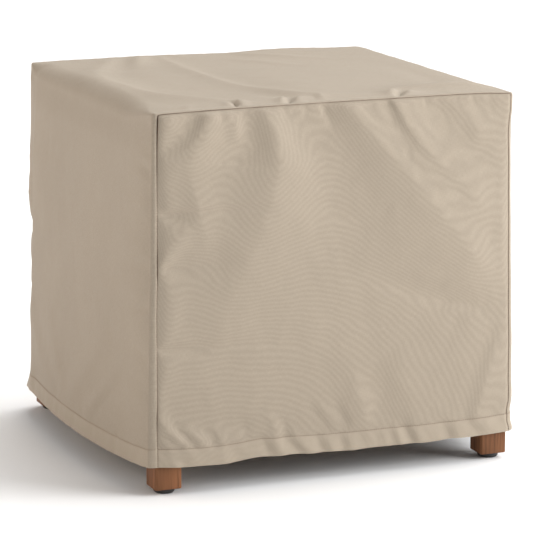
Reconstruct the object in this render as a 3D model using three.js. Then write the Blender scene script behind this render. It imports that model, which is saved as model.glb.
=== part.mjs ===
// A fitted fabric cover on a plain square side table.
//
// The cover is sewn from three pieces of one coated cloth: a long strip that
// runs up the left side, over the top and down the right side, and a front and
// a back panel set in between the strip's edges. Each piece has its own turned
// hem along the ground edge. The table under it is plain: a square top with
// softened edges, four square legs flush with its corners, and four round
// glides. The cloth hangs clear of the legs and open below.
//
// Millimetres, +Z up, front at -Y. The whole stands on z = 0 with the middle of
// its outer size at x = y = 0.

import * as THREE from "three";

// ---------------------------------------------------------------- dimensions
const TABLE_HALF = 301; // half the table's width and depth, top and legs flush
const TABLE_TOP_Z = 595; // height of the table's upper face
const SLAB = 24; // thickness of the table's top
const SLAB_EDGE = { x: 33, z: 22 }; // rounding of the top's upper edge, across and down
const SLAB_CORNER_R = 6; // rounding of the top's upright corners
const LEG = 44; // side of a leg
const LEG_CORNER_R = 5; // rounding of a leg's long edges
const LEG_CHAMFER = 1.2; // bevel round a leg's foot
const GLIDE_R = 16.8; // radius of a glide
const GLIDE_FOOT_R = 14.4; // radius of the face it stands on
const GLIDE_H = 8; // height of a glide
const GAP = 0.3; // space kept between neighbouring pieces

const CLOTH = 1.2; // thickness of the cloth
const HEM_CLOTH = 2.2; // thickness where the hem is turned up
const COVER_HALF = 304.3; // half width of the cover's outer face at the top
const COVER_TOP_Z = 596.5; // outer face of the cloth where it lies on the top
const HEM_Z = 44; // height of the ground edge of the hem
const HEM_DEPTH = 29; // from the ground edge up to the hem's stitch line
const ROLL_R = 12; // how the strip rolls from the top to a side

// how far the strip laps round onto the front and back faces: a roll of radius
// r, then a flat lip e up to the seam
const LAP = { left: { r: 7, e: 3.2 }, top: { r: 2.4, e: 0 }, right: { r: 4.6, e: 0 } };

// how far each side stands out from the cover's half width at its ground edge,
// and how far that edge hangs below HEM_Z, at places p along the side
const HANG = {
  left: [[-304, 4.5], [-290, 8], [-234, 18], [-162, 27], [-91, 33], [14, 36], [115, 33], [215, 25], [277, 17.5], [304, 12]],
  right: [[-304, 2], [-288, 6], [-230, 16], [-150, 23], [-50, 28], [60, 28], [160, 22], [250, 14], [304, 8]],
  front: [[-304, 0], [-260, 1], [0, 1], [260, 1], [304, 0]],
  back: [[-304, 0], [-150, 4], [0, 5], [150, 4], [304, 0]],
};
const DROP = {
  left: [[-304, -2.6], [-280, -1.8], [-230, 0], [-100, 0.5], [60, 0.5], [200, 0], [262, 1.5], [304, 3.5]],
  right: [[-304, -4], [-280, -2.5], [-230, 0], [0, 1.5], [230, 0], [304, 0]],
  front: [[-304, -3.2], [-262, -1.2], [-226, 0], [-190, 0], [-160, -1.5], [-129, -4], [-104, -2.6], [-76, -2.6], [-27, 0], [110, 1], [234, 0.4], [304, -1.2]],
  back: [[-304, 2], [-200, 0], [0, 2], [200, 0], [304, 0]],
};
// each side springs out a little close to its seams
const SPRING = { left: 9.5, right: 5 };
const SPRING_RUN = 26;

// ---------------------------------------------------------------- fold tables
// Each fold is a crest that runs through a few points of its panel. A point
// gives its place, the fold's half width left (a) and right (b) of the crest
// there, and its height (negative: a trough). A crisp of 2 is a soft round
// fold; less is a sharper crest.
const COLUMNS = ["x", "z", "a", "b", "h"];
const fold = (name, crisp, ...rows) => ({ name, crisp, rows });

// front panel: x across, z up
const FRONT_FOLDS = [
  fold("left sweep", 1.6,
    [-124, 606, 14, 18, 2], [-112, 566, 30, 28, 8.8], [-104, 506, 44, 54, 13.6], [-122, 450, 52, 80, 13.6], [-160, 390, 54, 100, 11.6], [-196, 328, 46, 108, 7], [-212, 260, 42, 100, 2.6], [-224, 194, 40, 60, 0.2]),
  fold("right sweep", 1.7,
    [2, 606, 12, 20, 2.5], [18, 562, 26, 26, 7.4], [52, 500, 44, 34, 10.4], [120, 436, 82, 42, 12.4], [196, 371, 106, 48, 11.4], [249, 311, 78, 40, 6], [264, 258, 36, 24, 0.4]),
  fold("left corner pull", 1.6,
    [-210, 606, 10, 34, 2], [-216, 590, 14, 36, 5], [-226, 568, 16, 38, 6], [-242, 548, 16, 36, 5.5], [-264, 534, 14, 30, 4], [-288, 524, 10, 22, 2]),
  fold("right corner pull", 1.6,
    [80, 604, 5, 16, 2.4], [106, 572, 10, 30, 6.6], [160, 520, 26, 40, 6.6], [248, 446, 40, 46, 4], [290, 410, 40, 46, 2]),
  fold("far corner pull", 1.8,
    [170, 600, 10, 14, 1], [206, 575, 16, 22, 2.4], [236, 545, 20, 24, 2.4], [262, 510, 22, 26, 1.5], [284, 470, 22, 26, 0.5]),
  fold("left corner pull again", 1.7,
    [-200, 606, 16, 40, 1.4], [-206, 590, 20, 40, 4.2], [-218, 560, 24, 40, 5.2], [-236, 536, 24, 40, 4.8], [-262, 512, 20, 34, 2.8], [-284, 498, 14, 26, 1]),
  fold("pocket", 1.6,
    [-250, 512, 14, 20, 1], [-242, 488, 18, 24, 2.4], [-236, 462, 20, 28, 4], [-230, 436, 20, 28, 4], [-222, 410, 16, 22, 1.4]),
  fold("seam pull", 1.9,
    [-298, 356, 12, 12, 3], [-280, 378, 13, 16, 3.6], [-262, 398, 18, 24, 2.8], [-240, 416, 24, 28, 1.2]),
  fold("lower middle", 1.8,
    [8, 206, 22, 22, 0.5], [20, 180, 22, 22, 1.4], [32, 146, 22, 18, 2.4], [42, 112, 22, 16, 2.8], [52, 82, 18, 14, 1.6]),
  fold("lower right", 1.8,
    [86, 202, 18, 56, 0.6], [98, 172, 20, 62, 1.6], [120, 128, 22, 62, 2.6], [140, 78, 20, 50, 2]),
  fold("lower far right", 1.8,
    [282, 212, 10, 20, 0.5], [272, 180, 13, 24, 2.2], [258, 134, 14, 26, 3.2], [242, 78, 13, 26, 2.2]),
  fold("lower left swell", 2,
    [-150, 226, 60, 60, 0.6], [-140, 170, 60, 60, 2], [-130, 116, 50, 50, 0.8]),
];

// back panel: x across as seen from the front, z up
const BACK_FOLDS = [
  fold("long sweep", 1.8,
    [34, 606, 18, 20, 1.5], [48, 570, 26, 30, 4.5], [84, 480, 42, 50, 7], [126, 380, 54, 60, 7.5], [170, 280, 60, 60, 5], [206, 180, 58, 54, 2], [220, 130, 40, 40, 0.4]),
  fold("short sweep", 1.8,
    [-112, 606, 12, 20, 1.2], [-130, 570, 18, 28, 3.5], [-168, 510, 28, 36, 5], [-216, 452, 36, 40, 3.8], [-268, 396, 40, 40, 1.2]),
  fold("corner pull", 1.8,
    [226, 604, 10, 12, 1], [240, 564, 14, 16, 2.4], [268, 524, 18, 18, 0.8]),
  fold("side swell", 2,
    [-236, 330, 30, 40, 0.4], [-226, 270, 34, 44, 2.6], [-236, 210, 30, 40, 0.6]),
  fold("lower left", 1.8,
    [-146, 236, 28, 26, 0.3], [-158, 150, 26, 24, 2.6], [-182, 60, 22, 22, 1.6]),
  fold("lower middle", 1.8,
    [12, 216, 26, 28, 0.3], [4, 140, 24, 26, 2.4], [-8, 60, 20, 22, 1.6]),
  fold("lower right", 1.8,
    [92, 220, 24, 30, 0.3], [112, 140, 22, 30, 2.4], [130, 64, 20, 26, 1.6]),
];

// sides of the strip: y across (front is negative), z up
const LEFT_FOLDS = [
  fold("broad swell", 2,
    [-60, 540, 80, 90, 0.4], [-64, 470, 80, 90, 2], [-70, 400, 80, 90, 2.6], [-80, 330, 80, 90, 2], [-92, 262, 80, 90, 0.6]),
  fold("crest two", 1.6,
    [-176, 236, 20, 46, 0.6], [-136, 204, 20, 46, 3.4], [-86, 160, 18, 44, 5], [-46, 128, 16, 40, 4.4], [-10, 100, 14, 34, 2.4]),
  fold("crest three", 1.8,
    [132, 226, 20, 44, 0.3], [112, 190, 20, 44, 2.2], [72, 146, 20, 42, 3.6], [46, 108, 18, 40, 2.4], [30, 80, 16, 30, 0.8]),
  fold("crest four", 1.8,
    [300, 238, 20, 30, 0.5], [258, 200, 22, 32, 2.6], [206, 158, 22, 32, 3.4], [164, 122, 22, 32, 3], [108, 96, 18, 26, 1.6], [84, 84, 14, 20, 0.4]),
  fold("far swell", 2,
    [196, 520, 60, 50, 0.4], [206, 430, 60, 50, 2.4], [200, 340, 60, 50, 0.4]),
  fold("far bump", 2,
    [280, 420, 24, 26, 0.4], [284, 385, 24, 26, 2.2], [282, 352, 20, 22, 0.4]),
  fold("near foot", 1.8,
    [-300, 152, 18, 12, 0.8], [-262, 158, 20, 12, 1.6], [-206, 152, 22, 14, 0.4]),
];
const RIGHT_FOLDS = [
  fold("broad swell", 2,
    [70, 500, 70, 70, 0.4], [60, 410, 70, 70, 2.2], [50, 320, 70, 70, 3], [40, 230, 66, 70, 2], [30, 160, 60, 70, 0.6]),
  fold("low diagonal", 1.7,
    [124, 226, 20, 26, 0.3], [104, 180, 18, 26, 2.2], [86, 130, 18, 24, 3.2], [62, 74, 16, 22, 1.8]),
  fold("near upright", 1.8,
    [-172, 262, 22, 22, 0.3], [-164, 190, 22, 22, 2.2], [-154, 120, 22, 22, 2.8], [-130, 60, 20, 22, 1.8]),
  fold("far crest", 1.8,
    [266, 244, 18, 26, 0.3], [240, 196, 18, 26, 2.2], [206, 140, 18, 26, 2.8], [176, 84, 16, 24, 1.2]),
  fold("upper draw", 1.9,
    [-180, 560, 30, 40, 0.3], [-196, 480, 36, 46, 2.4], [-206, 400, 36, 46, 0.6]),
];

// top: x across, y back
const TOP_FOLDS = [
  fold("left crest", 1.6,
    [-140, 300, 20, 24, 0.1], [-194, 214, 34, 24, 2.8], [-256, 96, 44, 22, 4.8], [-257, -40, 46, 22, 4.8], [-234, -164, 36, 18, 5.2], [-166, -240, 20, 14, 2.8], [-150, -264, 14, 12, 0.8]),
  fold("middle crest", 1.4,
    [-66, 300, 12, 10, 0.1], [-92, 122, 20, 14, 2.1], [-92, -32, 24, 14, 2.2], [-76, -138, 26, 12, 2.9], [-34, -220, 22, 13, 4.8], [34, -266, 14, 14, 1.8], [74, -280, 12, 12, 0.4]),
  fold("back swell", 1.8,
    [-108, 300, 14, 16, 0.8], [-121, 264, 18, 20, 3.2], [-138, 224, 20, 24, 3.8], [-152, 184, 20, 26, 2.2], [-164, 150, 16, 22, 0.3]),
  fold("right diagonal one", 1.8,
    [44, 292, 14, 18, 0.4], [72, 244, 16, 20, 2], [110, 210, 16, 20, 2.2], [150, 176, 16, 20, 1.2], [184, 146, 14, 18, 0.2]),
  fold("broad swell", 2,
    [10, 120, 60, 150, 0.8], [0, 20, 60, 170, 2.4], [-4, -80, 60, 180, 3.2], [6, -150, 60, 160, 2.8], [20, -210, 50, 120, 0.8]),
  fold("front ridge", 1.7,
    [112, -232, 14, 36, 0.8], [156, -236, 15, 40, 4.4], [208, -240, 16, 42, 6.2], [256, -244, 16, 40, 5.4], [290, -248, 14, 34, 2.4]),
  fold("front swell", 2,
    [-270, -268, 20, 26, 0.8], [-180, -270, 20, 26, 1.6], [-60, -272, 20, 26, 1.8], [60, -272, 20, 26, 1.8], [120, -270, 20, 26, 1.4]),
];

// ---------------------------------------------------------------- small maths
const clamp = (v, lo, hi) => Math.min(hi, Math.max(lo, v));
const mix = (a, b, t) => a + (b - a) * t;
const smooth = (a, b, v) => {
  const t = clamp((v - a) / (b - a), 0, 1);
  return t * t * (3 - 2 * t);
};

// a fold's rows joined by a smooth line
const CREST_STEPS = 4;
function crestLine(f) {
  const n = f.rows.length;
  const beyond = (a, b) => a.map((v, c) => 2 * v - b[c]);
  const k = [beyond(f.rows[0], f.rows[1]), ...f.rows, beyond(f.rows[n - 1], f.rows[n - 2])];
  const line = [];
  for (let i = 1; i < n; i++)
    for (let step = 0; step < CREST_STEPS; step++) {
      const t = step / CREST_STEPS;
      line.push(COLUMNS.map((_, c) => {
        const [p, q, r, u] = [k[i - 1][c], k[i][c], k[i + 1][c], k[i + 2][c]];
        return 0.5 * (2 * q + (r - p) * t + (2 * p - 5 * q + 4 * r - u) * t * t + (3 * q - p - 3 * r + u) * t * t * t);
      }));
    }
  line.push(f.rows[n - 1]);
  return line;
}

// height of one fold at a point of its panel
function foldHeight(f, x, z) {
  f.line ??= crestLine(f);
  let best = Infinity, at = 0, side = 0;
  for (let i = 0; i < f.line.length - 1; i++) {
    const [ax, az] = f.line[i], [bx, bz] = f.line[i + 1];
    const vx = bx - ax, vz = bz - az, len2 = vx * vx + vz * vz + 1e-9;
    const s = clamp(((x - ax) * vx + (z - az) * vz) / len2, 0, 1);
    const dx = x - ax - s * vx, dz = z - az - s * vz, d = dx * dx + dz * dz;
    if (d < best) {
      best = d;
      at = i + s;
      side = (vx * dz - vz * dx) / (Math.sqrt(len2 * d) + 1e-6);
    }
  }
  const i = Math.min(Math.floor(at), f.line.length - 2), t = at - i;
  const [a, b, h] = [2, 3, 4].map((c) => mix(f.line[i][c], f.line[i + 1][c], t));
  const w = mix(a, b, 0.5 + 0.5 * side);
  return h * Math.exp(-Math.pow(best / (w * w), f.crisp / 2));
}
const folds = (rows, x, z) => rows.reduce((sum, f) => sum + foldHeight(f, x, z), 0);

// a smooth curve through a table's rows
function through(rows, p) {
  const n = rows.length;
  let i = 0;
  while (i < n - 2 && p > rows[i + 1][0]) i++;
  const slope = (k) => {
    const a = rows[Math.max(0, k - 1)], b = rows[Math.min(n - 1, k + 1)];
    return (b[1] - a[1]) / (b[0] - a[0]);
  };
  const [x0, y0] = rows[i], [x1, y1] = rows[i + 1], run = x1 - x0;
  const t = clamp((p - x0) / run, 0, 1), t2 = t * t, t3 = t2 * t;
  return (2 * t3 - 3 * t2 + 1) * y0 + (t3 - 2 * t2 + t) * run * slope(i)
    + (3 * t2 - 2 * t3) * y1 + (t3 - t2) * run * slope(i + 1);
}
// how far down a side a height z is, 0 under the top and 1 at the ground edge
const down = (z) => clamp((COVER_TOP_Z - 34 - z) / (COVER_TOP_Z - 34 - HEM_Z), 0, 1.02);
// how far a side stands out at height z and at a place p along it; towards its
// back end only the hem kicks out
const flare = (side, p, z) => through(HANG[side], p) * Math.pow(down(z), 1.15 + 14 * smooth(240, 304, p));
// ground edge at a place p along a side
const hemZ = (side, p) => HEM_Z - through(DROP[side], p);

// ---------------------------------------------------------------- sheets
// A closed sheet between an outer and an inner grid of points.
function sheet(outer, inner) {
  const nu = outer.length, nv = outer[0].length;
  const points = [...outer.flat(), ...inner.flat()];
  const o = (i, j) => i * nv + j, n = (i, j) => nu * nv + i * nv + j;
  const index = [];
  const quad = (a, b, c, d) => index.push(a, b, c, a, c, d);
  for (let i = 0; i < nu - 1; i++)
    for (let j = 0; j < nv - 1; j++) {
      quad(o(i, j), o(i + 1, j), o(i + 1, j + 1), o(i, j + 1));
      quad(n(i, j), n(i, j + 1), n(i + 1, j + 1), n(i + 1, j));
    }
  for (let i = 0; i < nu - 1; i++) {
    quad(o(i, 0), n(i, 0), n(i + 1, 0), o(i + 1, 0));
    quad(o(i, nv - 1), o(i + 1, nv - 1), n(i + 1, nv - 1), n(i, nv - 1));
  }
  for (let j = 0; j < nv - 1; j++) {
    quad(o(0, j), o(0, j + 1), n(0, j + 1), n(0, j));
    quad(o(nu - 1, j), n(nu - 1, j), n(nu - 1, j + 1), o(nu - 1, j + 1));
  }
  const g = new THREE.BufferGeometry().setFromPoints(points);
  g.setIndex(index);
  return g;
}

// A strip position is measured up the left side, over the top and down the
// right side. It gives the outer face's place, its outward direction, how far
// the strip laps there, and the side it is on.
const SIDE_STEPS = [0, HEM_DEPTH - 1.5, HEM_DEPTH + 1.5, 60, 95, 140, 190, 240, 290, 340, 390, 435, 480, 520];
const TOP_STEPS = 20;
const ROLL_STEPS = 4;

function stripStations() {
  const st = [];
  const straight = COVER_HALF - ROLL_R;
  for (const up of SIDE_STEPS) st.push({ part: "left", up, nx: -1, nz: 0, lap: LAP.left });
  for (let k = 0; k <= ROLL_STEPS; k++) {
    const t = k / ROLL_STEPS, a = (t * Math.PI) / 2;
    st.push({
      part: "roll", x: -straight - ROLL_R * Math.cos(a), z: COVER_TOP_Z - ROLL_R + ROLL_R * Math.sin(a),
      nx: -Math.cos(a), nz: Math.sin(a),
      lap: { r: mix(LAP.left.r, LAP.top.r, t), e: mix(LAP.left.e, LAP.top.e, t) },
    });
  }
  for (let k = 1; k < TOP_STEPS; k++)
    st.push({ part: "top", x: mix(-straight, straight, k / TOP_STEPS), z: COVER_TOP_Z, nx: 0, nz: 1, lap: LAP.top });
  for (let k = 0; k <= ROLL_STEPS; k++) {
    const t = k / ROLL_STEPS, a = (t * Math.PI) / 2;
    st.push({
      part: "roll", x: straight + ROLL_R * Math.sin(a), z: COVER_TOP_Z - ROLL_R + ROLL_R * Math.cos(a),
      nx: Math.sin(a), nz: Math.cos(a),
      lap: { r: mix(LAP.top.r, LAP.right.r, t), e: mix(LAP.top.e, LAP.right.e, t) },
    });
  }
  for (const up of [...SIDE_STEPS].reverse()) st.push({ part: "right", up, nx: 1, nz: 0, lap: LAP.right });
  return st;
}

const LENGTH_STEPS = [-1, -0.93, -0.84, -0.72, -0.57, -0.4, -0.23, -0.06, 0.11, 0.28, 0.45, 0.62, 0.78, 0.91, 1];
const ARC_STEPS = 3;

// One point of the strip: across it at y, or round onto the front (end -1) or
// back face (end 1) by an angle and a lip.
function stripPoint(st, y, end, angle, lip, depth) {
  const { nx, nz, lap } = st;
  const reach = COVER_HALF - lap.r;
  const r = lap.r - depth;
  const side = st.part === "left" || st.part === "right";
  const turn = end === 0 ? 0 : smooth(0, Math.PI / 2, angle);
  let px = st.x, pz = st.z, out = 0;
  if (side) {
    const p = end === 0 ? y : end * reach;
    const z0 = mix(hemZ(st.part, p), hemZ(end > 0 ? "back" : "front", nx * (reach - lap.e)), turn);
    pz = mix(z0, HEM_Z, smooth(30, 200, st.up)) + st.up;
    out = flare(st.part, p, pz) * (1 - turn);
    px = nx * (COVER_HALF + out);
    if (end === 0) {
      const rows = st.part === "left" ? LEFT_FOLDS : RIGHT_FOLDS;
      const near = reach - Math.abs(y);
      const rise = smooth(COVER_TOP_Z - 10, COVER_TOP_Z - 70, pz) * (1 - 0.8 * Math.pow(down(pz), 3));
      px += nx * (SPRING[st.part] * (1 - Math.exp(-near / SPRING_RUN)) * rise
        + folds(rows, y, pz) * smooth(0, 30, near));
    }
  } else if (st.part === "top" && end === 0) {
    pz += Math.max(0, folds(TOP_FOLDS, px, y)) * smooth(0, 26, COVER_HALF - Math.abs(y)) * smooth(0, 40, COVER_HALF - Math.abs(px));
  }
  if (end === 0) return new THREE.Vector3(px - nx * depth, y, pz - nz * depth);
  const inward = lap.r - r * Math.cos(angle) + lip;
  return new THREE.Vector3(px - nx * inward, end * (reach + r * Math.sin(angle)), pz - nz * inward);
}

function stripGrid(depthAt) {
  return stripStations().map((st) => {
    const depth = depthAt(st), row = [];
    const reach = COVER_HALF - st.lap.r;
    row.push(stripPoint(st, 0, -1, Math.PI / 2, st.lap.e + 0.2, depth));
    for (let k = ARC_STEPS; k >= 1; k--) row.push(stripPoint(st, 0, -1, (k / ARC_STEPS) * (Math.PI / 2), 0, depth));
    for (const s of LENGTH_STEPS) row.push(stripPoint(st, s * reach, 0, 0, 0, depth));
    for (let k = 1; k <= ARC_STEPS; k++) row.push(stripPoint(st, 0, 1, (k / ARC_STEPS) * (Math.PI / 2), 0, depth));
    row.push(stripPoint(st, 0, 1, Math.PI / 2, st.lap.e + 0.2, depth));
    return row;
  });
}
// the turned-up cloth of a hem adds its thickness on the outside
const hemOut = (st) => (st.up !== undefined && st.up < HEM_DEPTH ? CLOTH - HEM_CLOTH : 0);

// The seam line on the front and back faces, from the strip's own stations,
// moved in by the gap between the pieces.
function seamLine() {
  return stripStations().map((st) => {
    const inward = st.lap.r + st.lap.e + 0.2 + GAP;
    const side = st.part === "left" || st.part === "right";
    const x = side ? st.nx * COVER_HALF : st.x;
    const z = side ? HEM_Z + st.up : st.z; // the patch below moves it onto the hem
    return { x: x - st.nx * inward, z: z - st.nz * inward, up: st.up, part: st.part };
  });
}

// A panel set between the strip's edges: a patch spanned by the seam line on
// its left, top and right and by the hem below.
function panelGrid(sign, rows, depthAt) {
  const face = sign < 0 ? "front" : "back";
  const line = seamLine();
  const mid = SIDE_STEPS.length + ROLL_STEPS / 2; // the patch's upper corners are half way round the rolls
  const left = line.slice(0, mid + 1);
  const right = line.slice(line.length - 1 - mid).reverse();
  const top = line.slice(mid, line.length - mid);
  const height = left[left.length - 1].z - left[0].z;
  const grid = [];
  for (const p of top) {
    const s = (p.x - top[0].x) / (top[top.length - 1].x - top[0].x), col = [];
    for (let j = 0; j < left.length; j++) {
      const l = left[j], r = right[j];
      const t = (l.z - left[0].z) / height;
      const b = { x: mix(left[0].x, right[0].x, s), z: left[0].z };
      const c00 = left[0], c10 = right[0], c01 = left[left.length - 1], c11 = right[right.length - 1];
      const x = mix(l.x, r.x, s) + mix(b.x, p.x, t) - mix(mix(c00.x, c10.x, s), mix(c01.x, c11.x, s), t);
      let z = mix(l.z, r.z, s) + mix(b.z, p.z, t) - mix(mix(c00.z, c10.z, s), mix(c01.z, c11.z, s), t);
      z += (hemZ(face, x) - HEM_Z) * smooth(200, 30, z - HEM_Z);
      const near = Math.min(x - l.x, r.x - x, p.z - z);
      const edge = smooth(0, 18, near);
      const out = Math.max(0, folds(rows, x, z)) * edge + flare(face, x, z) + 1.2 * smooth(0, 40, near);
      const depth = depthAt(l);
      col.push(new THREE.Vector3(x, sign * (COVER_HALF + out - depth), z));
    }
    grid.push(col);
  }
  return sign < 0 ? grid : grid.reverse();
}

// ---------------------------------------------------------------- table pieces
// A closed solid through a pile of convex rings, lowest first.
function pile(rings) {
  const n = rings[0].length;
  const points = rings.flat(), index = [];
  for (let k = 0; k < rings.length - 1; k++)
    for (let i = 0; i < n; i++) {
      const a = k * n + i, b = k * n + ((i + 1) % n);
      index.push(a, b, b + n, a, b + n, a + n);
    }
  const cap = (k, up) => {
    const centre = new THREE.Vector3();
    for (const p of rings[k]) centre.addScaledVector(p, 1 / n);
    const c = points.push(centre) - 1;
    for (let i = 0; i < n; i++) {
      const a = k * n + i, b = k * n + ((i + 1) % n);
      if (up) index.push(c, a, b);
      else index.push(c, b, a);
    }
  };
  cap(0, false);
  cap(rings.length - 1, true);
  const g = new THREE.BufferGeometry().setFromPoints(points);
  g.setIndex(index);
  return g;
}
// a square of half width h with rounded corners, at height z
function squareRing(h, r, z, cornerSteps = 3) {
  const shape = [];
  for (const [sx, sy, a0] of [[1, -1, -Math.PI / 2], [1, 1, 0], [-1, 1, Math.PI / 2], [-1, -1, Math.PI]])
    for (let k = 0; k <= cornerSteps; k++) {
      const a = a0 + (k / cornerSteps) * (Math.PI / 2);
      shape.push(new THREE.Vector3(sx * (h - r) + r * Math.cos(a), sy * (h - r) + r * Math.sin(a), z));
    }
  return shape;
}
function slab() {
  const z0 = TABLE_TOP_Z - SLAB, rings = [squareRing(TABLE_HALF, SLAB_CORNER_R, z0)];
  const steps = 4;
  for (let k = 0; k <= steps; k++) {
    const a = (k / steps) * (Math.PI / 2);
    const inset = SLAB_EDGE.x * (1 - Math.cos(a));
    rings.push(squareRing(TABLE_HALF - inset, SLAB_CORNER_R, TABLE_TOP_Z - SLAB_EDGE.z * (1 - Math.sin(a))));
  }
  return pile(rings);
}
function leg() {
  const z0 = GLIDE_H + GAP, z1 = TABLE_TOP_Z - SLAB - GAP;
  return pile([
    squareRing(LEG / 2 - LEG_CHAMFER, LEG_CORNER_R - LEG_CHAMFER, z0),
    squareRing(LEG / 2, LEG_CORNER_R, z0 + LEG_CHAMFER),
    squareRing(LEG / 2, LEG_CORNER_R, z1),
  ]);
}
function glide() {
  const profile = [
    [0, 0], [GLIDE_FOOT_R, 0], [GLIDE_R - 0.7, 1.8], [GLIDE_R, 3.4], [GLIDE_R, GLIDE_H], [0, GLIDE_H],
  ].map(([r, z]) => new THREE.Vector2(r, z));
  const g = new THREE.LatheGeometry(profile, 28);
  g.rotateX(Math.PI / 2); // the lathe turns about its own upright axis
  return g;
}

// ---------------------------------------------------------------- assembly
const canvas = { color: 0xb9a88f, roughness: 0.82, metalness: 0 };
const wood = { color: 0x8a5c3c, roughness: 0.6, metalness: 0 };
const plastic = { color: 0x1c1a19, roughness: 0.55, metalness: 0 };

function piece(name, geometry, material) {
  geometry.deleteAttribute("uv");
  geometry.deleteAttribute("normal");
  const mesh = new THREE.Mesh(geometry, new THREE.MeshStandardMaterial({ ...material }));
  mesh.name = name;
  return mesh;
}

const part = new THREE.Group();
const cover = new THREE.Group();
const inside = () => CLOTH;
const panel = (sign, rows) => sheet(panelGrid(sign, rows, hemOut), panelGrid(sign, rows, inside));
cover.add(piece("wrap_panel", sheet(stripGrid(hemOut), stripGrid(inside)), canvas));
cover.add(piece("front_panel", panel(-1, FRONT_FOLDS), canvas));
cover.add(piece("back_panel", panel(1, BACK_FOLDS), canvas));
part.add(cover);

const furniture = new THREE.Group();
furniture.add(piece("table_top", slab(), wood));
const LEG_AT = TABLE_HALF - LEG / 2;
for (const [tag, sx, sy] of [["fl", -1, -1], ["fr", 1, -1], ["bl", -1, 1], ["br", 1, 1]]) {
  const post = piece("leg_" + tag, leg(), wood);
  post.position.set(sx * LEG_AT, sy * LEG_AT, 0);
  furniture.add(post);
  const foot = piece("glide_" + tag, glide(), plastic);
  foot.position.set(sx * LEG_AT, sy * LEG_AT, 0);
  furniture.add(foot);
}
part.add(furniture);

// the middle of the outer size goes to x = y = 0
part.updateMatrixWorld(true);
const box = new THREE.Box3().setFromObject(part, true);
part.children.forEach((g) => g.position.set(-(box.min.x + box.max.x) / 2, -(box.min.y + box.max.y) / 2, 0));

export default part;
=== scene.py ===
import math

import bpy
import numpy as np
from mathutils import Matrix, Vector, noise


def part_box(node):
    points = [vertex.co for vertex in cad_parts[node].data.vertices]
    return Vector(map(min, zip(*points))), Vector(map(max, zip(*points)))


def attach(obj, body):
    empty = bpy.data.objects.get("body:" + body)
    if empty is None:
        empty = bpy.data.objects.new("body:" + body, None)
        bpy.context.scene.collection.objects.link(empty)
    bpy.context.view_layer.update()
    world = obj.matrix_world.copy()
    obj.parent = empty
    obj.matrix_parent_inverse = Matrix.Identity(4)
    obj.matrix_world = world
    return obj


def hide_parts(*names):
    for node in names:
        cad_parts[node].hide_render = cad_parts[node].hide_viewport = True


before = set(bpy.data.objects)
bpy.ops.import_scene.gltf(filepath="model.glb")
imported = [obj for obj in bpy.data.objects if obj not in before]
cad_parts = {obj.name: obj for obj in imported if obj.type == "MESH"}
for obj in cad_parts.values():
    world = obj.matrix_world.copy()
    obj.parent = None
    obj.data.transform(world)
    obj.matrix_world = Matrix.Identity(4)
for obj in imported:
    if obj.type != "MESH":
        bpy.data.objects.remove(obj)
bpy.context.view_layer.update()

# ---------------------------------------------------------------- sizes (mm)
TABLE_HALF = 301.0
TABLE_TOP_Z = 595.0
SLAB = 24.0
SLAB_EDGE = (33.0, 22.0)  # rounding of the top's upper edge, across and down
LEG_ROUND = 5.0  # rounding of the upright corners of the legs
LEG = 44.0
GLIDE_H = 8.0
CLOTH = 1.1
HEM_EXTRA = 0.9
COVER_HALF = 304.3
COVER_TOP_Z = 596.5
HEM_Z = 44.0
HEM_DEPTH = 29.0
# the roll from the top to a side: soft in the middle, held square by the seams
ROLL_X = {"left": 37.0, "right": 16.0}
ROLL_Z = {"left": 24.0, "right": 20.0}
ROLL_END = 4.5
ROLL_RUN = {"front": 120.0, "back": 34.0}
# the strip's lap onto the front and back faces: roll radius r, flat lip e
LAP = {"left": (6.0, 2.4), "top": (1.6, 0.3), "right": (4.6, 0.5)}
INNER_R = 2.0  # upper corners of the set-in panels
# how far each side stands out at its ground edge, and how far that edge hangs
# below HEM_Z, at places p along the side
HANG = {
    "left": [(-304, 4.5), (-290, 8), (-234, 18), (-162, 27), (-91, 33), (14, 36), (115, 33), (215, 25), (277, 17.5), (304, 12)],
    "right": [(-304, 2), (-288, 6), (-230, 16), (-150, 23), (-50, 28), (60, 28), (160, 22), (250, 14), (304, 8)],
    "front": [(-304, 0), (-260, 1), (0, 1), (260, 1), (304, 0)],
    "back": [(-304, 0), (-150, 4), (0, 5), (150, 4), (304, 0)],
}
DROP = {
    "left": [(-304, -2.6), (-280, -1.8), (-230, 0), (-100, 0.5), (60, 0.5), (200, 0), (262, 1.5), (290, 3.5), (304, 5.5)],
    "right": [(-304, -4), (-280, -2.5), (-230, 0), (0, 1.5), (230, 0), (304, 0)],
    "front": [(-304, -3.2), (-262, -1.2), (-226, 0), (-190, 0), (-160, -1.5), (-129, -4), (-104, -2.6), (-76, -2.6), (-27, 0), (110, 1), (234, 0.4), (304, -1.2)],
    "back": [(-304, 2), (-200, 0), (0, 2), (200, 0), (304, 0)],
}
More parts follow.
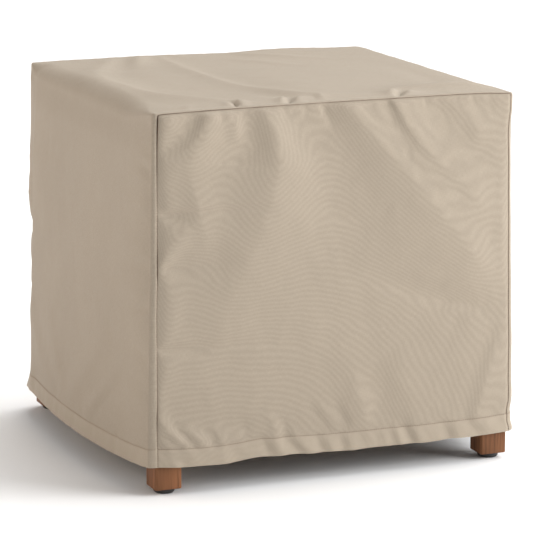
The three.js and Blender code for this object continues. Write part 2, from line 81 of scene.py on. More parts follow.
# how far the sewn edges wander off their straight lines: outward at heights z,
# and upward at places x along the top
WANDER = {
    "front left": [(44, 2.5), (77, 2.5), (111, 2.8), (145, 2.1), (212, 2.1), (280, 2.0), (313, 1.4), (347, 0.4), (414, 0.4), (482, 0), (549, -0.6), (590, -1.8)],
    "front right": [(44, 3.5), (52, 3.2), (61, 0.6), (72, 0.2), (84, 0.4), (96, 2.8), (113, 3.0), (130, 2.2), (164, 2.0), (198, 2.0), (231, 0.9), (265, 0.2), (299, -0.2), (333, -1.2), (383, -1.8), (434, -3.0), (484, -3.5), (518, -4.6), (535, -5.0), (552, -3.9), (570, -2.2), (590, -1.8)],
    "back left": [(44, -1.8), (71, -1.0), (100, 1.6), (132, -1.0), (145, -4.6), (158, -3.6), (175, -1.6), (190, -0.8), (204, -1.8), (220, 1.9), (240, 1.6), (255, 1.0), (275, 2.0), (300, 0.4), (317, -3.6), (334, 0), (354, 3.2), (380, 2.8), (400, 2.3), (450, 0.4), (500, -1.6), (550, -2.4), (575, -3.2), (590, -4)],
    "back right": [(44, 1.5), (120, 2.0), (170, 0.4), (240, 2.2), (310, -0.6), (390, 1.6), (470, -0.8), (540, -2.2), (590, -2.6)],
}
LIFT = {
    "front": [(-304, 0.6), (-293, 1.2), (-265, 1.9), (-208, 2.9), (-94, 3.6), (-37, 4.0), (77, 3.8), (191, 3.7), (248, 3.0), (290, 0.7), (304, -0.5)],
    "back": [(-304, -1.2), (-250, -0.3), (-200, -0.4), (-100, -0.2), (0, -1.8), (50, -2.8), (80, -2.2), (120, -0.6), (180, -0.6), (215, -2.2), (250, -3.6), (304, -4.0)],
}
SPRING = {"left": 9.5, "right": 5.0}
SPRING_RUN = 26.0

# the table's own middle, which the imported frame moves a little
_lo, _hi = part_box("table_top")
SHIFT = np.array([(_lo.x + _hi.x) / 2, (_lo.y + _hi.y) / 2, 0.0])

# ---------------------------------------------------------------- fold tables
# A fold is a crest line through points of its panel. Each point gives the
# fold's half width left (a) and right (b) of the crest, looking down its
# length, and its height h. A negative height is a trough. "crisp" below 2
# makes the crest sharper.
COLUMNS = "x z a b h".split()


def fold(name, crisp, *points):
    return {"name": name, "crisp": crisp, "points": [dict(zip(COLUMNS, p)) for p in points]}


FRONT_FOLDS = [
    fold(
        "left sweep", 1.6,
        (-124, 606, 14, 18, 2.0), (-124, 590, 20, 20, 4.6), (-112, 566, 30, 28, 8.8), (-104, 536, 38, 38, 12), (-103, 506, 46, 54, 13.6),
        (-109, 480, 58, 66, 13.8), (-118, 450, 66, 80, 13.6), (-125, 420, 70, 92, 13), (-136, 390, 68, 100, 11.8), (-150, 360, 62, 104, 10.0),
        (-166, 328, 56, 108, 7.8), (-180, 296, 50, 110, 5.2), (-193, 260, 44, 100, 2.8), (-206, 224, 42, 84, 1.0), (-216, 194, 40, 60, 0.2),
    ),
    fold(
        "right sweep", 1.7,
        (2, 606, 12, 20, 2.5), (12, 592, 20, 22, 4.8), (28, 572, 30, 24, 7.4), (50, 548, 40, 28, 8.8), (76, 522, 54, 30, 10.2),
        (104, 490, 72, 34, 11.4), (134, 456, 88, 38, 12.4), (160, 424, 94, 42, 12.4), (190, 388, 90, 46, 11.6),
        (220, 352, 76, 46, 9.6), (246, 318, 58, 40, 6.4), (260, 286, 42, 32, 2.8), (264, 258, 36, 24, 0.4),
    ),
    fold("left corner pull", 1.6, (-210, 606, 10, 34, 2.0), (-216, 590, 14, 36, 5.0), (-226, 568, 16, 38, 6.0), (-242, 548, 16, 36, 5.5), (-264, 534, 14, 30, 4.0), (-288, 524, 10, 22, 2.0)),
    fold("corner patch", 2.0, (-276, 604, 14, 22, 1.2), (-276, 582, 16, 24, 2.6), (-284, 560, 12, 20, 1.6)),
    fold("right corner pull", 1.6, (84, 604, 5, 16, 2.4), (92, 590, 7, 24, 5.4), (103, 572, 9, 28, 6.6), (119, 550, 12, 32, 7.2), (152, 514, 18, 38, 7.0), (196, 474, 26, 44, 6.0), (238, 434, 32, 46, 4.4), (282, 390, 36, 46, 2.2)),
    fold("streak", 1.7, (54, 600, 8, 10, 0.5), (78, 564, 10, 12, 1.2), (116, 520, 12, 14, 1.4), (156, 474, 12, 16, 1.2), (198, 428, 14, 18, 0.8), (236, 390, 16, 18, 0.2)),
    fold("far corner pull", 1.8, (170, 600, 10, 14, 1.0), (206, 575, 16, 22, 2.4), (236, 545, 20, 24, 2.4), (262, 510, 22, 26, 1.5), (284, 470, 22, 26, 0.5)),
    fold("left corner pull", 1.7, (-200, 606, 16, 40, 1.4), (-206, 590, 20, 40, 4.2), (-218, 560, 24, 40, 5.2), (-236, 536, 24, 40, 4.8), (-262, 512, 20, 34, 2.8), (-284, 498, 14, 26, 1.0)),
    fold("corner patch", 2.0, (-290, 604, 14, 30, 1.4), (-292, 575, 14, 34, 2.8), (-296, 545, 14, 30, 1.4)),
    fold("spur", 1.8, (-174, 600, 12, 9, 1.6), (-170, 570, 14, 11, 3.0), (-168, 538, 14, 12, 0.5)),
    fold("pocket", 1.6, (-250, 512, 14, 20, 1.0), (-242, 488, 18, 24, 2.4), (-236, 462, 20, 28, 4.0), (-230, 436, 20, 28, 4.0), (-222, 410, 16, 22, 1.4)),
    fold("seam pull", 1.9, (-298, 356, 12, 12, 3.0), (-280, 378, 13, 16, 3.6), (-262, 398, 18, 24, 2.8), (-240, 416, 24, 28, 1.2)),
    fold("left hollow", 2.0, (-240, 352, 24, 40, -0.4), (-246, 300, 30, 46, -1.2), (-244, 250, 30, 46, -1.2), (-236, 210, 24, 36, -0.5)),
    fold("sweep end", 2.0, (62, 318, 12, 20, -0.6), (110, 298, 14, 24, -2.0), (160, 280, 14, 24, -2.8), (206, 268, 13, 20, -2.4), (246, 256, 12, 14, -0.8)),
    fold("lower middle", 1.8, (8, 206, 22, 22, 0.5), (20, 180, 22, 22, 1.4), (32, 146, 22, 18, 2.4), (42, 112, 22, 16, 2.8), (52, 82, 18, 14, 1.6)),
    fold("lower right", 1.8, (86, 202, 18, 56, 0.6), (98, 172, 20, 62, 1.6), (120, 128, 22, 62, 2.6), (140, 78, 20, 50, 2.0)),
    fold("lower far right", 1.8, (282, 212, 10, 20, 0.5), (272, 180, 13, 24, 2.2), (258, 134, 14, 26, 3.2), (242, 78, 13, 26, 2.2)),
    fold("lower left swell", 2.0, (-150, 226, 60, 60, 0.6), (-140, 170, 60, 60, 2.0), (-130, 116, 50, 50, 0.8)),
    fold("nip one", 2.0, (-296, 447, 7, 7, -1.6), (-278, 441, 8, 8, -1.3), (-256, 432, 10, 10, -0.2)),
    fold("nip two", 2.0, (-296, 232, 7, 9, -1.6), (-280, 228, 8, 10, -1.2), (-256, 222, 12, 12, -0.2)),
    fold("nip three", 2.0, (-298, 362, 6, 6, -1.4), (-284, 360, 7, 7, -1.0), (-266, 356, 9, 9, -0.2)),
    fold("foot pull", 2.0, (-296, 130, 10, 12, 1.4), (-286, 114, 9, 11, 2.6), (-266, 92, 9, 11, 2.0), (-254, 78, 8, 10, 0.8)),
    fold("top nip a", 2.0, (-197, 598, 4, 4, -1.2), (-195, 586, 5, 5, -0.9), (-190, 568, 7, 7, -0.1)),
    fold("top nip b", 2.0, (-171, 598, 4, 4, -1.2), (-171, 588, 5, 5, -0.8), (-174, 576, 6, 6, -0.1)),
    fold("top nip c", 2.0, (-91, 598, 5, 5, -1.6), (-89, 586, 5, 6, -1.2), (-84, 570, 7, 7, -0.1)),
    fold("top nip d", 2.0, (-56, 598, 4, 5, -1.3), (-54, 586, 5, 6, -1.0), (-48, 570, 7, 7, -0.1)),
    fold("top nip e", 2.0, (-28, 598, 5, 5, -2.0), (-20, 580, 6, 7, -1.9), (-4, 552, 9, 10, -0.3)),
    fold("top nip f", 2.0, (82, 598, 5, 5, -2.0), (93, 580, 5, 6, -1.8), (114, 556, 8, 9, -0.4)),
    fold("top nip g", 2.0, (146, 598, 4, 5, -1.3), (149, 587, 4, 6, -0.9), (157, 574, 6, 7, -0.1)),
    fold("top nip h", 2.0, (199, 598, 4, 4, -0.9), (203, 586, 5, 5, -0.7), (212, 572, 7, 7, -0.1)),
    fold("top nip i", 2.0, (227, 598, 4, 4, -0.9), (231, 586, 5, 5, -0.7), (240, 572, 7, 7, -0.1)),
    fold("top nip j", 2.0, (255, 598, 4, 4, -0.9), (260, 584, 5, 5, -0.7), (272, 564, 7, 7, -0.1)),
]


def short(*lines):
    """Short straight folds: x0, z0, x1, z1, half widths left and right, height."""
    out = []
    for x0, z0, x1, z1, a, b, h in lines:
        out.append(fold("short", 1.8, (x0, z0, a, b, 0.55 * h), ((x0 + x1) / 2, (z0 + z1) / 2, a, b, h), (x1, z1, a, b, 0.75 * h)))
    return out


# slanting draws above and below the hem's stitch line
FRONT_HEM = short(
    (-300, 98, -262, 77, 5, 6, -1.7),
    (-300, 70, -256, 50, 6, 7, -1.8),
    (-286, 72, -268, 48, 6, 8, 1.4),
    (-270, 108, -240, 77, 7, 6, -1.9),
    (-252, 104, -226, 77, 6, 12, 1.8),
    (-221, 98, -206, 77, 8, 6, -1.2),
    (-205, 102, -193, 77, 7, 12, 1.6),
    (-158, 100, -150, 80, 8, 6, -0.7),
    (-116, 108, -102, 84, 10, 10, 1.6),
    (-92, 98, -84, 79, 9, 7, -1.0),
    (-44, 122, -16, 79, 9, 7, -1.0),
    (-26, 114, 2, 79, 8, 10, 1.1),
    (-2, 120, 18, 80, 8, 7, -0.8),
    (18, 112, 34, 80, 8, 10, 0.9),
    (-200, 70, -188, 46, 8, 9, 0.9),
    (-128, 74, -112, 44, 12, 7, -2.2),
    (-106, 72, -92, 44, 7, 10, 2.0),
    (-88, 74, -62, 44, 8, 7, -2.0),
    (-70, 72, -46, 44, 7, 11, 1.8),
    (-36, 72, -22, 44, 8, 7, -1.9),
    (-18, 72, -6, 44, 7, 10, 1.6),
    (2, 74, 14, 42, 8, 7, -1.4),
    (18, 72, 30, 42, 8, 12, 1.5),
    (88, 72, 100, 44, 8, 7, -1.3),
    (101, 72, 113, 42, 6, 8, 1.5),
    (116, 72, 134, 42, 8, 6, -1.7),
    (132, 72, 148, 42, 7, 12, 1.1),
    (184, 72, 198, 42, 11, 6, -1.8),
    (202, 72, 214, 42, 8, 14, 1.5),
    (232, 68, 246, 48, 8, 7, -1.1),
    (256, 72, 268, 44, 9, 12, 1.2),
)
# how far from the left seam the front panel has come up out of it, by height
SEAM_REACH = [
    (44, 34), (60, 38), (76, 34), (90, 16), (102, 6), (122, 2.5), (145, 3.5), (165, 5), (185, 9), (205, 13), (218, 12),
    (232, 4), (245, 13), (262, 18), (285, 21), (310, 22), (335, 16), (350, 8), (362, 3), (376, 8), (392, 16), (408, 22),
    (424, 16), (434, 9), (445, 4), (452, 18), (462, 21), (472, 20), (486, 18), (505, 16), (522, 12), (533, 5), (546, 3.5),
    (560, 3), (575, 3.5), (592, 4),
]
BACK_FOLDS = [
    fold("long sweep", 1.5, (34, 606, 12.2, 13.6, 1.5), (48, 570, 17.7, 20.4, 4.5), (84, 480, 28.6, 34, 7.0), (126, 380, 36.7, 40.8, 7.5), (170, 280, 40.8, 40.8, 5.0), (206, 180, 39.4, 36.7, 2.0), (220, 130, 27.2, 27.2, 0.4)),
    fold("short sweep", 1.5, (-112, 606, 8.4, 14, 1.2), (-130, 570, 12.6, 19.6, 3.5), (-168, 510, 19.6, 25.2, 5.0), (-216, 452, 25.2, 28, 3.8), (-268, 396, 28, 28, 1.2)),
    fold("short nip", 2.0, (-110, 600, 7, 7, -1.2), (-130, 566, 9, 9, -1.4), (-170, 524, 12, 12, -0.3)),
    fold("corner pull", 1.6, (226, 604, 8.5, 10.2, 1.0), (240, 564, 11.9, 13.6, 2.4), (268, 524, 15.3, 15.3, 0.8)),
    fold("side swell", 2.0, (-236, 330, 30, 40, 0.4), (-226, 270, 34, 44, 2.6), (-236, 210, 30, 40, 0.6)),
    fold("lower left", 1.8, (-146, 236, 28, 26, 0.3), (-158, 150, 26, 24, 2.6), (-182, 60, 22, 22, 1.6)),
    fold("lower middle", 1.8, (12, 216, 26, 28, 0.3), (4, 140, 24, 26, 2.4), (-8, 60, 20, 22, 1.6)),
    fold("lower right", 1.8, (92, 220, 24, 30, 0.3), (112, 140, 22, 30, 2.4), (130, 64, 20, 26, 1.6)),
    fold("nip a", 2.0, (-60, 600, 5, 5, -1.4), (-52, 576, 7, 7, -0.9), (-40, 556, 8, 8, -0.1)),
    fold("nip b", 2.0, (134, 600, 5, 5, -1.4), (142, 578, 7, 7, -0.9), (156, 556, 8, 8, -0.1)),
    fold("nip c", 2.0, (-214, 600, 5, 5, -1.2), (-210, 582, 6, 6, -0.8), (-204, 564, 8, 8, -0.1)),
]
LEFT_FOLDS = [
    fold("broad swell", 2.0, (-60, 540, 90, 90, 0.3), (-64, 470, 90, 90, 1.4), (-70, 400, 90, 90, 1.8), (-80, 330, 90, 90, 1.4), (-92, 262, 90, 90, 0.4)),
    fold("crest one", 1.5, (-214, 186, 7, 11, 0.3), (-192, 166, 8, 13, 2.2), (-154, 138, 8, 13, 3.2), (-118, 110, 7, 13, 3.0), (-84, 82, 6, 11, 1.6)),
    fold("crest one line", 2.0, (-204, 160, 4, 4, -0.2), (-163, 127, 4, 4, -0.8), (-128, 97, 4, 4, -0.8), (-102, 76, 4, 4, -0.2)),
    fold("crest two", 1.6, (-176, 236, 22, 46, 0.5), (-136, 204, 22, 46, 2.6), (-86, 160, 20, 44, 3.9), (-46, 128, 18, 40, 3.4), (-10, 100, 16, 34, 1.8)),
    fold("crest two foot", 1.6, (-92, 106, 5, 8, 0.2), (-84, 97, 5, 8, 1.0), (-70, 72, 5, 8, 0.8)),
    fold("crest three", 1.8, (132, 226, 22, 44, 0.3), (112, 190, 22, 44, 1.7), (72, 146, 22, 42, 2.8), (46, 108, 20, 40, 1.9), (30, 80, 16, 30, 0.6)),
    fold("crest four", 1.8, (300, 238, 22, 30, 0.4), (258, 200, 24, 32, 2.0), (206, 158, 24, 32, 2.6), (164, 122, 24, 32, 2.3), (108, 96, 20, 26, 1.2), (84, 84, 14, 20, 0.3)),
    fold("far swell", 2.0, (196, 520, 60, 50, 0.4), (206, 430, 60, 50, 2.4), (200, 340, 60, 50, 0.4)),
    fold("far bump", 2.0, (280, 420, 24, 26, 0.4), (284, 385, 24, 26, 2.2), (282, 352, 20, 22, 0.4)),
    fold("far notch one", 2.0, (306, 320, 11, 11, -2.6), (288, 318, 12, 12, -1.8), (262, 316, 16, 16, -0.3)),
    fold("far notch two", 2.0, (306, 206, 8, 8, -1.4), (288, 203, 9, 9, -0.9), (266, 200, 12, 12, -0.1)),
    fold("far notch three", 2.0, (306, 147, 8, 8, -1.4), (288, 145, 9, 9, -0.9), (266, 142, 12, 12, -0.1)),
    fold("near ripple one", 2.0, (-300, 512, 8, 8, -2.6), (-280, 512, 8, 9, -2.6), (-260, 514, 11, 11, -0.6), (-244, 518, 14, 14, -0.1)),
    fold("near ripple two", 2.0, (-286, 436, 10, 10, -0.9), (-268, 442, 11, 11, -1.0), (-240, 452, 16, 16, -0.1)),
    fold("near ripple three", 2.0, (-300, 366, 9, 9, -2.4), (-280, 360, 9, 9, -2.4), (-254, 350, 10, 11, -1.6), (-222, 338, 14, 14, -0.1)),
    fold("near ripple four", 2.0, (-300, 306, 9, 9, -1.6), (-282, 294, 9, 9, -2.2), (-262, 282, 11, 11, -0.8), (-248, 276, 13, 13, -0.1)),
    fold("near ripple five", 2.0, (-300, 216, 9, 9, -1.6), (-282, 220, 9, 9, -1.8), (-256, 226, 13, 13, -0.2)),
    fold("near foot", 1.8, (-300, 152, 18, 12, 0.8), (-262, 158, 20, 12, 1.6), (-206, 152, 22, 14, 0.4)),
    fold("hem draw a", 2.0, (-206, 84, 8, 8, -0.5), (-200, 72, 8, 8, -1.0), (-192, 42, 8, 8, -0.8)),
    fold("hem draw b", 2.0, (-96, 74, 8, 12, 0.8), (-84, 60, 8, 12, 1.2), (-70, 40, 8, 12, 0.9)),
    fold("hem draw c", 2.0, (48, 104, 9, 9, -0.4), (66, 84, 9, 9, -1.2), (84, 60, 9, 9, -0.7)),
    fold("hem draw d", 2.0, (176, 84, 8, 9, -0.5), (196, 70, 8, 9, -1.4), (214, 48, 8, 9, -1.0)),
    fold("hem draw e", 2.0, (196, 96, 9, 16, 0.6), (222, 78, 9, 16, 1.8), (250, 48, 9, 16, 1.4)),
]
RIGHT_FOLDS = [
    fold("broad swell", 2.0, (70, 500, 70, 70, 0.4), (60, 410, 70, 70, 2.2), (50, 320, 70, 70, 3.0), (40, 230, 66, 70, 2.0), (30, 160, 60, 70, 0.6)),
    fold("low diagonal", 1.7, (124, 226, 20, 26, 0.3), (104, 180, 18, 26, 2.2), (86, 130, 18, 24, 3.2), (62, 74, 16, 22, 1.8)),
    fold("near upright", 1.8, (-172, 262, 22, 22, 0.3), (-164, 190, 22, 22, 2.2), (-154, 120, 22, 22, 2.8), (-130, 60, 20, 22, 1.8)),
    fold("crease", 1.6, (160, 236, 6, 8, 0.2), (136, 190, 7, 9, 1.4), (112, 140, 7, 9, 1.6), (92, 82, 6, 8, 0.4)),
    fold("far crest", 1.8, (266, 244, 18, 26, 0.3), (240, 196, 18, 26, 2.2), (206, 140, 18, 26, 2.8), (176, 84, 16, 24, 1.2)),
    fold("upper draw", 1.9, (-180, 560, 30, 40, 0.3), (-196, 480, 36, 46, 2.4), (-206, 400, 36, 46, 0.6)),
    fold("seam ripple one", 2.0, (-300, 332, 9, 9, -1.1), (-270, 328, 11, 11, -1.0), (-240, 320, 14, 14, -0.1)),
    fold("seam ripple two", 2.0, (-300, 212, 9, 9, -1.0), (-270, 206, 11, 11, -0.9), (-240, 198, 14, 14, -0.1)),
    fold("seam ripple three", 2.0, (-300, 462, 9, 9, -0.8), (-270, 468, 11, 11, -0.8), (-240, 476, 14, 14, -0.1)),
    fold("hem draw a", 2.0, (-220, 86, 8, 10, -0.4), (-206, 66, 8, 10, -1.2), (-190, 42, 8, 10, -0.9)),
    fold("hem draw b", 2.0, (-40, 92, 9, 10, -0.4), (-54, 68, 9, 10, -1.2), (-66, 42, 9, 10, -0.9)),
    fold("hem draw c", 2.0, (196, 90, 9, 14, 0.4), (180, 66, 9, 14, 1.4), (164, 42, 9, 14, 1.0)),
]
TOP_FOLDS = [
    fold(
        "left crest", 1.6,
        (-140, 300, 20, 22, 0.1), (-164, 262, 26, 24, 1.9), (-194, 214, 34, 22, 3.8), (-228, 158, 40, 20, 5.4), (-256, 96, 44, 20, 6.0), (-264, 28, 46, 20, 6.0),
        (-257, -40, 46, 20, 6.2), (-252, -108, 42, 18, 6.8), (-234, -164, 36, 16, 6.8), (-198, -208, 30, 14, 5.8), (-166, -240, 20, 13, 3.6), (-150, -264, 14, 11, 1.0),
    ),
    fold("left hollow", 2.0, (-156, 236, 26, 30, -0.2), (-196, 150, 20, 34, -0.8), (-206, 40, 20, 34, -1.0), (-196, -66, 20, 34, -0.8), (-170, -140, 18, 30, -0.2)),
    fold(
        "middle crest", 1.4,
        (-66, 300, 12, 9, 0.2), (-84, 250, 18, 11, 2.6), (-92, 122, 20, 12, 3.0), (-92, 31, 20, 12, 3.1), (-92, -32, 24, 12, 3.1),
        (-88, -86, 26, 12, 3.3), (-76, -138, 26, 11, 4.1), (-58, -182, 26, 11, 5.6), (-34, -220, 22, 12, 6.0), (-6, -248, 18, 15, 4.2), (34, -266, 14, 14, 1.8), (74, -280, 12, 12, 0.4),
    ),
    fold("middle hollow", 2.0, (-98, -160, 14, 14, -0.2), (-84, -200, 16, 16, -1.2), (-62, -238, 16, 16, -1.8), (-42, -262, 12, 12, -0.4)),
    fold("back swell", 1.8, (-108, 300, 14, 14, 1.2), (-121, 264, 16, 18, 4.8), (-138, 224, 16, 22, 5.5), (-152, 184, 18, 24, 3.0), (-164, 150, 16, 22, 0.3)),
    fold("back swell two", 1.8, (-156, 300, 14, 14, 0.4), (-178, 256, 16, 16, 2.0), (-194, 222, 14, 14, 1.2), (-206, 196, 12, 12, 0.1)),
    fold("right diagonal one", 1.8, (44, 292, 14, 18, 0.4), (72, 244, 15, 18, 2.8), (110, 210, 15, 18, 3.0), (150, 176, 15, 18, 1.6), (184, 146, 14, 18, 0.2)),
    fold("right diagonal two", 1.9, (16, 210, 12, 18, 0.4), (50, 156, 14, 20, 1.9), (80, 110, 14, 18, 1.5), (104, 76, 12, 16, 0.2)),
    fold("broad swell", 2.0, (10, 120, 60, 150, 0.8), (0, 20, 60, 170, 2.4), (-4, -80, 60, 180, 3.2), (6, -150, 60, 160, 2.8), (20, -210, 50, 120, 0.8)),
    fold("right hollow", 2.0, (236, 60, 24, 20, -0.3), (240, -30, 26, 20, -1.2), (238, -110, 26, 20, -2.0), (230, -176, 24, 22, -1.8), (226, -196, 20, 20, -0.6)),
    fold("front ridge", 1.7, (112, -232, 14, 34, 1.4), (156, -236, 14, 36, 6.0), (208, -240, 15, 36, 8.0), (256, -244, 15, 34, 7.0), (290, -248, 13, 30, 3.0)),
    fold("front swell", 2.0, (-270, -268, 20, 26, 0.8), (-180, -270, 20, 26, 1.6), (-60, -272, 20, 26, 1.8), (60, -272, 20, 26, 1.8), (120, -270, 20, 26, 1.4)),
    fold("pucker a", 1.9, (-158, -256, 4, 4, -0.8), (-159, -268, 4, 4, -3.4), (-161, -284, 4, 4, -3.8), (-163, -302, 4, 4, -2.0)),
    fold("pucker a right", 1.5, (-147, -250, 5, 12, 1.2), (-149, -268, 5, 12, 4.2), (-152, -286, 5, 11, 3.6), (-155, -303, 4, 9, 1.0)),
    fold("pucker a left", 1.6, (-167, -262, 9, 5, 1.0), (-169, -280, 9, 5, 3.0), (-172, -300, 8, 4, 1.0)),
    fold("pucker b", 1.9, (-57, -252, 5, 5, -0.8), (-63, -266, 5, 5, -3.6), (-71, -284, 5, 5, -4.2), (-80, -302, 5, 5, -1.8)),
    fold("pucker b left", 1.5, (-67, -250, 12, 4, 1.8), (-74, -268, 12, 4, 4.8), (-83, -288, 11, 4, 3.8), (-90, -302, 8, 4, 1.0)),
    fold("pucker b right", 1.6, (-48, -256, 4, 11, 1.0), (-52, -270, 4, 11, 3.0), (-61, -290, 4, 10, 1.8)),
    fold("pucker c", 1.5, (-13, -250, 4, 10, 0.8), (-16, -266, 4, 10, 2.4), (-20, -288, 4, 9, 1.5)),
    fold("pucker c left", 1.9, (-20, -254, 4, 4, -0.3), (-23, -270, 4, 4, -1.6), (-26, -290, 4, 4, -0.8)),
    fold("pucker d", 1.9, (131, -258, 4, 4, -1.0), (122, -272, 4, 4, -3.8), (112, -288, 4, 4, -4.0), (103, -303, 4, 4, -1.6)),
    fold("pucker d left", 1.4, (121, -250, 22, 5, 2.4), (111, -268, 22, 5, 6.2), (101, -286, 15, 5, 4.6), (94, -302, 9, 4, 1.2)),
    fold("pucker d right", 1.6, (142, -260, 5, 17, 1.6), (133, -276, 5, 17, 3.8), (123, -294, 5, 13, 2.0)),
    fold("pucker e", 1.8, (196, -300, 5, 7, 0.8), (200, -284, 5, 7, 1.2), (208, -262, 6, 8, 0.2)),
    fold("pucker f", 1.8, (-240, -298, 5, 7, 0.8), (-236, -280, 5, 7, 1.4), (-226, -256, 6, 8, 0.2)),
    fold("back pucker a", 1.9, (-52, 304, 9, 9, 0.8), (-50, 284, 10, 10, 1.0), (-46, 254, 12, 12, 0.1)),
    fold("back pucker b", 1.9, (-226, 304, 9, 9, 0.6), (-222, 284, 10, 10, 0.9), (-212, 258, 12, 12, 0.1)),
]


# ---------------------------------------------------------------- small maths
def smooth(a, b, v):
    t = np.clip((v - a) / (b - a), 0, 1)
    return t * t * (3 - 2 * t)


def mix(a, b, t):
    return a + (b - a) * t


def crest_line(f, steps=5):
    """The fold's points joined by a smooth line, as columns of x z a b h."""
    k = np.array([[q[c] for c in COLUMNS] for q in f["points"]], float)
    m = np.concatenate([[2 * k[0] - k[1]], k, [2 * k[-1] - k[-2]]])
    out = []
    for i in range(1, len(m) - 2):
        for t in np.arange(steps) / steps:
            out.append(0.5 * (2 * m[i] + (m[i + 1] - m[i - 1]) * t + (2 * m[i - 1] - 5 * m[i] + 4 * m[i + 1] - m[i + 2]) * t * t + (3 * m[i] - m[i - 1] - 3 * m[i + 1] + m[i + 2]) * t ** 3))
    out.append(k[-1])
    return np.array(out)


def fold_height(f, x, z):
    line = crest_line(f)
    px, pz = line[:, 0], line[:, 1]
    reach = 2.6 * line[:, 2:4].max()
    out = np.zeros(x.shape)
    near = (x > px.min() - reach) & (x < px.max() + reach) & (z > pz.min() - reach) & (z < pz.max() + reach)
    if not near.any():
        return out
    x, z = x[near], z[near]
    best = np.full(x.shape, 1e18)
    at = np.zeros(x.shape)
    side = np.zeros(x.shape)
    for i in range(len(line) - 1):
        vx, vz = px[i + 1] - px[i], pz[i + 1] - pz[i]
        l2 = vx * vx + vz * vz + 1e-9
        s = np.clip(((x - px[i]) * vx + (z - pz[i]) * vz) / l2, 0, 1)
        dx, dz = x - px[i] - s * vx, z - pz[i] - s * vz
        d = dx * dx + dz * dz
        m = d < best
        best = np.where(m, d, best)
        at = np.where(m, i + s, at)
        side = np.where(m, (vx * dz - vz * dx) / (np.sqrt(l2 * d) + 1e-6), side)
    n = np.arange(len(line))
    a, b, h = (np.interp(at, n, line[:, c]) for c in (2, 3, 4))
    w = mix(a, b, 0.5 + 0.5 * side)
    out[near] = h * np.exp(-((best / (w * w)) ** (f["crisp"] / 2)))
    return out


def folds(table, x, z):
    x, z = (np.array(v, float) for v in np.broadcast_arrays(x, z))
    out = np.zeros(x.shape)
    for f in table:
        out = out + fold_height(f, x, z)
    return out


def ripple(p, seed, waves=(13.0, 19.0, 31.0, 47.0), weights=(0.5, 0.8, 1.0, 0.6)):
    """An even-tempered irregular wave along a line, between about -1 and 1."""
    out = np.zeros(np.shape(p))
    for k, (w, a) in enumerate(zip(waves, weights)):
        out = out + a * np.sin(2 * math.pi * p / w + 1.7 * seed + 2.3 * k * (1 + 0.37 * seed))
    return out / sum(weights) * 1.4


def through(table, p):
    """A smooth curve through a table's rows."""
    k = np.array(table, float)
    p = np.asarray(p, float)
    i = np.clip(np.searchsorted(k[:, 0], p, side="right") - 1, 0, len(k) - 2)
    n = len(k)
    up, dn = np.minimum(np.arange(n) + 1, n - 1), np.maximum(np.arange(n) - 1, 0)
    slope = (k[up, 1] - k[dn, 1]) / (k[up, 0] - k[dn, 0])
    run = k[i + 1, 0] - k[i, 0]
    t = np.clip((p - k[i, 0]) / run, 0, 1)
    t2, t3 = t * t, t * t * t
    return (2 * t3 - 3 * t2 + 1) * k[i, 1] + (t3 - 2 * t2 + t) * run * slope[i] + (3 * t2 - 2 * t3) * k[i + 1, 1] + (t3 - t2) * run * slope[i + 1]


def lumps(x, y, scale, seed):
    """Smooth noise over a panel, between about -1 and 1."""
    fx, fy = np.broadcast_arrays(x, y)
    flat = np.array([noise.noise(Vector((a / scale, b / scale, seed * 7.31))) for a, b in zip(fx.ravel(), fy.ravel())])
    return flat.reshape(fx.shape) * 1.6


def down(z):
    """How far down a side a height is: 0 under the top, 1 at the ground edge."""
    return np.clip((COVER_TOP_Z - 34 - z) / (COVER_TOP_Z - 34 - HEM_Z), 0, 1.02)


def flare(side, p, z):
    return through(HANG[side], p) * down(z) ** (1.15 + 14 * smooth(240, 304, p))


def hem_z(side, p):
    return HEM_Z - through(DROP[side], p)


def seam_move(face, x, z):
    """Where a point near the sewn outline of a face moves: outward and up."""
    left = -through(WANDER[face + " left"], z)
    right = through(WANDER[face + " right"], z)
    side = np.where(x < 0, left, right) * smooth(COVER_HALF - 90, COVER_HALF - 12, np.abs(x))
    return side, through(LIFT[face], x) * smooth(COVER_TOP_Z - 90, COVER_TOP_Z - 12, z)


def hem_relief(p, up, seed, draw):
    """The turned hem: its thickness, the stitched groove, and faint draws."""
    band = smooth(HEM_DEPTH + 1.2, HEM_DEPTH - 1.2, up)
    out = HEM_EXTRA * band
    out = out - 0.4 * np.exp(-(((up - HEM_DEPTH) / 1.6) ** 2))
    wave = ripple(p + 0.5 * (up - 14), seed, (27.0, 41.0, 63.0), (0.8, 1.0, 0.7))
    return out + draw * wave * np.exp(-(((up - 17) / 17) ** 2))


